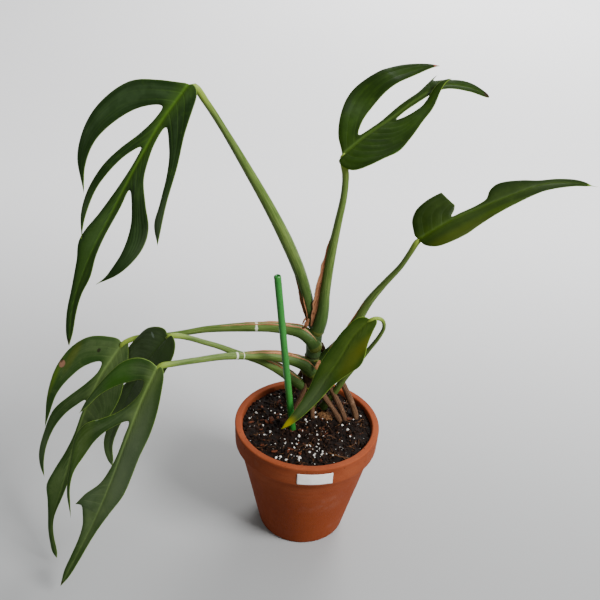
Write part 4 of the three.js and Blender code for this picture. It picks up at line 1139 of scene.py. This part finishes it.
def scrap(path, half, seed):
    """A torn scrap of dry sheath along a path, thin and crumpled."""
    rows, around = 22, 12
    share = np.linspace(0, 1, rows)
    line = through(path, share)
    along = unit(np.gradient(line, axis=0))
    side = unit(np.cross(along, (0.2, -1, 0.5)))
    up = np.cross(side, along)
    reach = half * np.sin(math.pi * blend(0.08, 0.95, share)) ** 0.5
    reach = [reach * (1 + 0.7 * ripple(columns(share * 9, 4 * sign, seed), 1.7, seed)) for sign in (-1, 1)]
    points = []
    for turn in angles(around):
        x = np.where(math.cos(turn) > 0, reach[1], reach[0]) * math.cos(turn)
        crumple = ripple(columns(share * 8, x, 0), 2.4, seed + 3) * half * 0.5
        rise = 0.2 * math.sin(turn) + crumple + 0.08 * x ** 2
        points.append(line + side * x[:, None] + up * rise[:, None])
    values = {"across": np.abs(np.tile(np.cos(angles(around)), rows)), "length": np.repeat(share * 9, around)}
    return np.stack(points, axis=1).reshape(-1, 3), skin(rows, around), values


def sheath_piece(letter, finish):
    parts = [wing(letter, *each) for each in WINGS[letter]]
    parts += [scrap(*each) for each in SCRAPS.get(letter, ())]
    dress(make_mesh(f"papery_{letter}", *join(parts), [finish]), "sheath", f"sheath_{letter}")


# Pot, label and stake
def turned(profile, around, wobble):
    """A closed form turned about the upright axis from a closed profile of radius and height."""
    rows = len(profile)
    angle = angles(around)
    rings = [columns(r * np.cos(angle), r * np.sin(angle), z) for r, z in profile]
    points = np.vstack(rings)
    push = ripple(points, 30, 4) * wobble + ripple(points, 7, 9) * wobble * 0.4
    points = points + unit(points * (1, 1, 0)) * (push * (points[:, 2] > 0.5))[:, None]
    faces = []
    for row in range(rows):
        low, high = row * around, (row + 1) % rows * around
        faces += [(low + a, low + b, high + b, high + a) for a, b in loop_edges(around)]
    return points, faces


def rounded(corners, radius, steps=5):
    """A closed profile with each corner rounded by its own radius."""
    corners = np.asarray(corners, float)
    path = []
    for k, corner in enumerate(corners):
        before, after = corners[k - 1], corners[(k + 1) % len(corners)]
        r = min(radius[k], np.linalg.norm(before - corner) * 0.45, np.linalg.norm(after - corner) * 0.45)
        start = corner + unit(before - corner) * r
        end = corner + unit(after - corner) * r
        for t in np.linspace(0, 1, steps):
            path.append((1 - t) ** 2 * start + 2 * t * (1 - t) * corner + t * t * end)
    return np.array(path)


def divided(profile, step):
    """A closed profile with more points along its sides."""
    path = []
    for a, b in zip(profile, np.roll(profile, -1, axis=0)):
        count = max(1, int(np.linalg.norm(b - a) / step))
        path.extend(blend(a, b, k / count) for k in range(count))
    return np.array(path)


def pot_piece(finish):
    """The hollow pot: tapered, with a collar that has two turned grooves under its rim."""
    collar_foot = POT_HEIGHT - COLLAR_HEIGHT
    inner_foot = FOOT_RADIUS - POT_WALL + 1
    inner_rim = RIM_RADIUS - POT_WALL
    corners = [
        (DRAIN_RADIUS, 0), (FOOT_RADIUS, 0), (BODY_TOP_RADIUS, collar_foot - 0.4),
        (COLLAR_FOOT_RADIUS, collar_foot), (RIM_RADIUS, POT_HEIGHT), (inner_rim, POT_HEIGHT),
        (inner_foot, POT_FLOOR), (DRAIN_RADIUS, POT_FLOOR),
    ]
    profile = divided(rounded(corners, [0.8, 1.6, 1.0, 1.1, 1.5, 1.3, 3, 0.8]), 1.6)
    outer = profile[:, 0] > BODY_TOP_RADIUS
    for below_rim, depth in ((4.2, 0.4), (7.0, 0.2)):
        profile[:, 0] -= outer * depth * bell(profile[:, 1] - (POT_HEIGHT - below_rim), 0.7)
    points, faces = turned(profile, POT_AROUND, wobble=0.16)
    height = points[:, 2]
    wall = np.interp(height, [POT_FLOOR, POT_HEIGHT], [inner_foot, inner_rim])
    within = np.hypot(points[:, 0], points[:, 1]) < wall + 1.5
    values = {"height": height, "inside": within * smoothstep(POT_HEIGHT - height, 0, 6)}
    dress(make_mesh("pot_clay", points, faces, values, [finish]), "terracotta", "pot")


def label_piece(finish):
    """A thin label bent round the collar, with one corner a little loose."""
    x, y = LABEL_SIZE[0] / 2, LABEL_SIZE[1] / 2
    outline = divided(rounded([(-x, -y), (x, -y), (x, y), (-x, y)], [0.7] * 4), 0.8)
    closed = np.vstack([outline, outline[:1]])
    grid = np.array([(x, y) for x in np.arange(-15, 15.1, 0.9) for y in np.arange(-5.6, 5.7, 0.8)])
    grid = grid[inside(grid, outline)]
    grid = grid[off_line(grid, closed) > 0.4]
    places, corners = triangulated(np.vstack([outline, grid]), loop_edges(len(outline)))
    x, y = places.T
    rim = off_line(places, closed)
    middle = (RIM_RADIUS + COLLAR_FOOT_RADIUS) / 2
    lean = (RIM_RADIUS - COLLAR_FOOT_RADIUS) / COLLAR_HEIGHT
    lift = 0.12 * np.clip(ripple(columns(x, y, 0), 8, 3), 0, 1) + 0.35 * smoothstep(x - y * 0.6, 14.5, 19)

    def shell(level):
        angle = x / middle + LABEL_TURN
        radius = middle + 0.3 + level + lift + y * lean
        z = POT_HEIGHT - COLLAR_HEIGHT / 2 - LABEL_DROP + y
        return columns(radius * np.sin(angle), -radius * np.cos(angle), z)

    on_edge = rim < ON_EDGE
    points = np.vstack([shell(0.1 + LABEL_THICKNESS * smoothstep(rim, 0, 0.3)), shell(-0.05)[~on_edge]])
    values = {"rim": both(rim, on_edge)}
    dress(make_mesh("plain_label", points, two_sides(corners, on_edge), values, [finish]), "label", "label")


def stake_piece(finish):
    """A straight hollow-topped rod with a chamfered end."""
    line = Line(STAKE)
    top = line.length
    rings = [(s, STAKE_RADIUS) for s in np.linspace(0, top - 1.0, 60)]
    rings += [(top - 0.75, 2.94), (top - 0.45, 2.75), (top - 0.12, 2.45), (top, 2.25), (top, 1.95),
              (top - 0.15, 1.8), (top - 0.9, 1.7), (top - 1.0, 1.5), (top - 1.0, 0.4)]
    s, radius = np.array(rings).T
    radius = radius[:, None] * (1 + 0.006 * np.cos(3 * angles(STAKE_AROUND)))
    points, faces, values = rod(line, s, radius, (1, 0, 0))
    dress(make_mesh("stake_rod", points, faces, values, [finish]), "stake", "stake")


# Soil
ENTRIES = [(0, 24, 9), *[(*p[-1][:2], 4) for p in ROOTS.values()], (-12, -8, 4), (12, 24, 5)]


def soil_height(x, y):
    """The lumpy top of the soil, with a small heap round each piece that goes into it."""
    x, y = np.asarray(x, float), np.asarray(y, float)
    waves = np.sin(0.21 * x + 1.3) * np.cos(0.17 * y - 0.4) + 0.6 * np.sin(0.43 * x - 0.37 * y)
    mound = 1.6 * np.exp(-((x - 4) ** 2 + (y - 22) ** 2) / 500)
    places = columns(x.ravel(), y.ravel(), 0)
    lumps = ripple(places, 6.5, 1) * 1.2 + ripple(places, 2.6, 2) * 0.9 + ripple(places, 1.2, 3) * 0.5
    fade = smoothstep(SOIL_RADIUS - np.hypot(x, y), 0, 12)
    heap = sum(0.9 * bell(np.hypot(x - ex, y - ey), size) for ex, ey, size in ENTRIES)
    return SOIL_LEVEL - 0.9 + fade * (0.9 + 0.9 * waves + mound) + lumps.reshape(x.shape) + heap


def on_soil(reach):
    """A random place on the soil, within a reach of its middle."""
    r, a = reach * math.sqrt(rng.random()), TURN * rng.random()
    return r * math.cos(a), r * math.sin(a)


def soil_piece(finish):
    """The potting mix, a lumpy top on a plain body."""
    count = SOIL_AROUND
    angle = angles(count)
    rim = columns(SOIL_RADIUS * np.cos(angle), SOIL_RADIUS * np.sin(angle))
    grid = []
    for row, y in enumerate(np.arange(-SOIL_RADIUS, SOIL_RADIUS, SOIL_STEP * 0.87)):
        grid.append(columns(np.arange(-SOIL_RADIUS, SOIL_RADIUS, SOIL_STEP) + (row % 2) * SOIL_STEP / 2, y))
    grid = np.vstack(grid)
    grid = grid[np.hypot(grid[:, 0], grid[:, 1]) < SOIL_RADIUS - 0.7]
    places, corners = triangulated(np.vstack([rim, grid]), loop_edges(count))
    foot_radius = FOOT_RADIUS - POT_WALL + 0.7
    top = columns(*places.T, soil_height(*places.T))
    low = columns(*(rim * foot_radius / SOIL_RADIUS).T, POT_FLOOR + 0.3)
    base = len(top)
    faces = [tuple(f) for f in corners]
    faces += [(a, base + a, base + b, b) for a, b in loop_edges(count)]
    faces.append(tuple(base + k for k in range(count - 1, -1, -1)))
    dress(make_mesh("potting_mix", np.vstack([top, low]), faces, None, [finish]), "soil", "soil")


def ball(fineness):
    """Points and faces of a small round stone."""
    shape = bmesh.new()
    bmesh.ops.create_icosphere(shape, subdivisions=fineness, radius=1)
    points = np.array([v.co[:] for v in shape.verts])
    faces = [tuple(v.index for v in f.verts) for f in shape.faces]
    shape.free()
    return points, faces


def scattered(name, finish, count, sizes, squash, reach, rough=0.45, sink=0.35, fineness=2, power=2.2,
              heap=None):
    """Irregular bits that lie in the top of the soil, all over it or in a heap of a middle and a spread."""
    base, base_faces = ball(fineness)
    parts = []
    for number in range(count):
        if heap is None:
            x, y = on_soil(reach)
        else:
            x, y = (heap[k] + heap[2] * rng.normal() for k in range(2))
            if math.hypot(x, y) > reach:
                continue
        size = blend(*sizes, rng.random() ** power) / 2
        shape = np.array([1, blend(*squash[0], rng.random()), blend(*squash[1], rng.random())]) * size
        turn = Matrix.Rotation(TURN * rng.random(), 3, "Z")
        for axis in "XY":
            turn = turn @ Matrix.Rotation(0.9 * (rng.random() - 0.5), 3, axis)
        bumps = 1 + rough * ripple(base * 1.6 + number * 3.7, 1.0, 1)
        points = (base * bumps[:, None] * shape) @ np.array(turn).T
        z = float(soil_height(x, y)) + shape[2] * (1 - 2 * sink)
        parts.append((points + (x, y, z), base_faces, {}))
    dress(make_mesh(name, *join(parts), [finish]), "soil")


def husk_piece(finish):
    """A ragged clump of dry fibres round the foot of the plant, on a rough core."""
    line = Line(HUSK)
    core, faces, values = tube(line, around=16, step=0.8)
    parts = [(core + ripple(core, 2.2, 6)[:, None] * 0.8, faces, values)]
    for _ in range(90):
        s = line.length * rng.random()
        centre, _ = line.at(np.array([s]))
        angle = TURN * rng.random()
        out = unit(np.array([math.cos(angle), math.sin(angle) * 0.8, 0.45 + 0.5 * rng.random()]))
        foot = centre[0] + out * line.half_at(s) * 0.8
        sway = rng.normal(size=3) * (1.8, 1.8, 1.0)
        reach = 1.5 + 3.2 * rng.random()
        path = [foot - out]
        path += [foot + out * reach * far + sway * bent for far, bent in ((0.4, 0.4), (0.7, 1), (0.6, 1.7))]
        parts.append(hair(path, 0.12 + 0.14 * rng.random(), around=5, step=1.2))
    dress(make_mesh("fibre_husk", *join(parts), [finish]), "root", "husk")


def twig_piece(finish):
    """A thin crooked twig on the soil, and fibres of the mix."""
    parts = [hair([(20, -38.5, 108.2), (25, -41, 109), (30, -43.4, 109.2), (37, -44.2, 108.6)], 0.75, 9, 1.0),
             hair([(30, -43.4, 109.2), (33, -46, 110), (35, -49, 110)], 0.4, 7, 1.0)]
    for _ in range(90):
        x, y = on_soil(53)
        turn = TURN * rng.random()
        reach = 1.5 + 3.5 * rng.random()
        path = []
        for share in (-1, -0.3, 0.4, 1):
            px = x + math.cos(turn) * reach * share + 0.5 * rng.normal()
            py = y + math.sin(turn) * reach * share + 0.5 * rng.normal()
            path.append((px, py, float(soil_height(px, py)) + 0.4 + 0.5 * rng.random()))
        parts.append(hair(path, 0.16 + 0.2 * rng.random(), around=5, step=1.3))
    dress(make_mesh("soil_twigs", *join(parts), [finish]), "soil")


# The plant
for letter in LEAVES:
    under = leaf_under(letter, tone(60, 84, 36), tone(112, 136, 60))
    leaf_piece(letter, [leaf_upper(letter, **LEAF_LOOKS[letter]), under])
for letter in STALKS:
    stalk_piece(letter, stalk_finish(letter, STALK_SCARS.get(letter, ())))
stem_piece(stem_finish())
bark = root_finish()
for name in ROOTS:
    root_piece(name, bark)
tan_paper = paper_finish("tan_paper", tone(150, 98, 64), tone(182, 130, 94), 0.6)
brown_paper = paper_finish("brown_paper", tone(92, 54, 32), tone(150, 102, 72), 0.9)
for letter in WINGS:
    sheath_piece(letter, brown_paper if letter in BROWN_SHEATHS else tan_paper)

# Pot, soil and what lies in it
pot_piece(clay_finish())
label_piece(label_finish())
stake_piece(stake_finish())
soil_piece(soil_finish("potting_soil", tone(9, 5, 3), tone(32, 18, 10)))
dark_crumb = soil_finish("soil_crumbs", tone(10, 6, 4), tone(42, 24, 14), 500)
brown_crumb = soil_finish("brown_crumbs", tone(46, 26, 14), tone(98, 64, 40), 600)
perlite = grit_finish("perlite_grit", tone(214, 212, 206), tone(168, 164, 156))
bark_chip = grit_finish("bark_chips", tone(52, 24, 12), tone(92, 48, 28), 0.75, 420)
scattered("soil_crumbs", dark_crumb, 1100, (1.0, 4.4), ((0.6, 1), (0.5, 0.9)), 57, fineness=1)
scattered("brown_crumbs", brown_crumb, 340, (0.8, 3.4), ((0.4, 1), (0.3, 0.8)), 56.5, fineness=1)
scattered("perlite", perlite, 190, (0.6, 3.0), ((0.6, 1), (0.5, 0.95)), 56, sink=0.34, power=2.6)
scattered("perlite_heap", perlite, 26, (1.2, 3.3), ((0.6, 1), (0.5, 0.95)), 55, sink=0.25, heap=(2, -36, 13))
scattered("bark_chips", bark_chip, 60, (2.5, 9.0), ((0.25, 0.6), (0.16, 0.34)), 55, rough=0.3, sink=0.15)
husk_piece(grit_finish("husk_fibre", tone(78, 52, 30), tone(134, 98, 64), 0.85, 500))
twig_piece(grit_finish("dry_fibre", tone(50, 30, 17), tone(100, 70, 44), 0.85, 500))

# Floor, lights and camera
bpy.ops.mesh.primitive_plane_add(size=14, location=(0, 3, -0.0004))
floor = bpy.context.object
floor.name = "studio_floor"
floor.data.materials.append(floor_finish())

LIGHTS = [
    ("key", (1.2, -0.75, 1.4), (0, 0, 0.15), (0.8, 0.8), 74),
    ("overhead", (0.2, 0.3, 2.0), (0, 0.1, 0), (1.6, 1.4), 8),
    ("backdrop", (0.8, 2.7, 1.9), (0.5, 2.6, 0), (2.4, 1.2), 150),
]
for name, place, target, size, power in LIGHTS:
    lamp = bpy.data.lights.new(name, "AREA")
    lamp.shape = "RECTANGLE"
    lamp.size, lamp.size_y = size
    lamp.energy = power
    holder = bpy.data.objects.new(name, lamp)
    bpy.context.scene.collection.objects.link(holder)
    holder.location = place
    holder.rotation_euler = (Vector(target) - Vector(place)).to_track_quat("-Z", "Y").to_euler()

world = bpy.data.worlds.new("studio")
bpy.context.scene.world = world
world.use_nodes = True
sky = world.node_tree.nodes["Background"]
sky.inputs["Color"].default_value = (0.95, 0.95, 0.96, 1)
sky.inputs["Strength"].default_value = 0.42

CAMERA_PLACE = (-0.013, -0.641, 0.618)
PITCH, ROLL = math.radians(30.7), math.radians(3.5)
forward = Vector((0, math.cos(PITCH), -math.sin(PITCH)))
upright = Vector((0, math.sin(PITCH), math.cos(PITCH)))
right = Vector((1, 0, 0))
across = right * math.cos(ROLL) + upright * math.sin(ROLL)
above = upright * math.cos(ROLL) - right * math.sin(ROLL)
camera_data = bpy.data.cameras.new("camera")
camera_data.sensor_width = 36
camera_data.lens = 54
camera = bpy.data.objects.new("camera", camera_data)
bpy.context.scene.collection.objects.link(camera)
turned_frame = Matrix((across, above, -forward)).transposed().to_4x4()
camera.matrix_world = Matrix.Translation(CAMERA_PLACE) @ turned_frame
bpy.context.scene.camera = camera
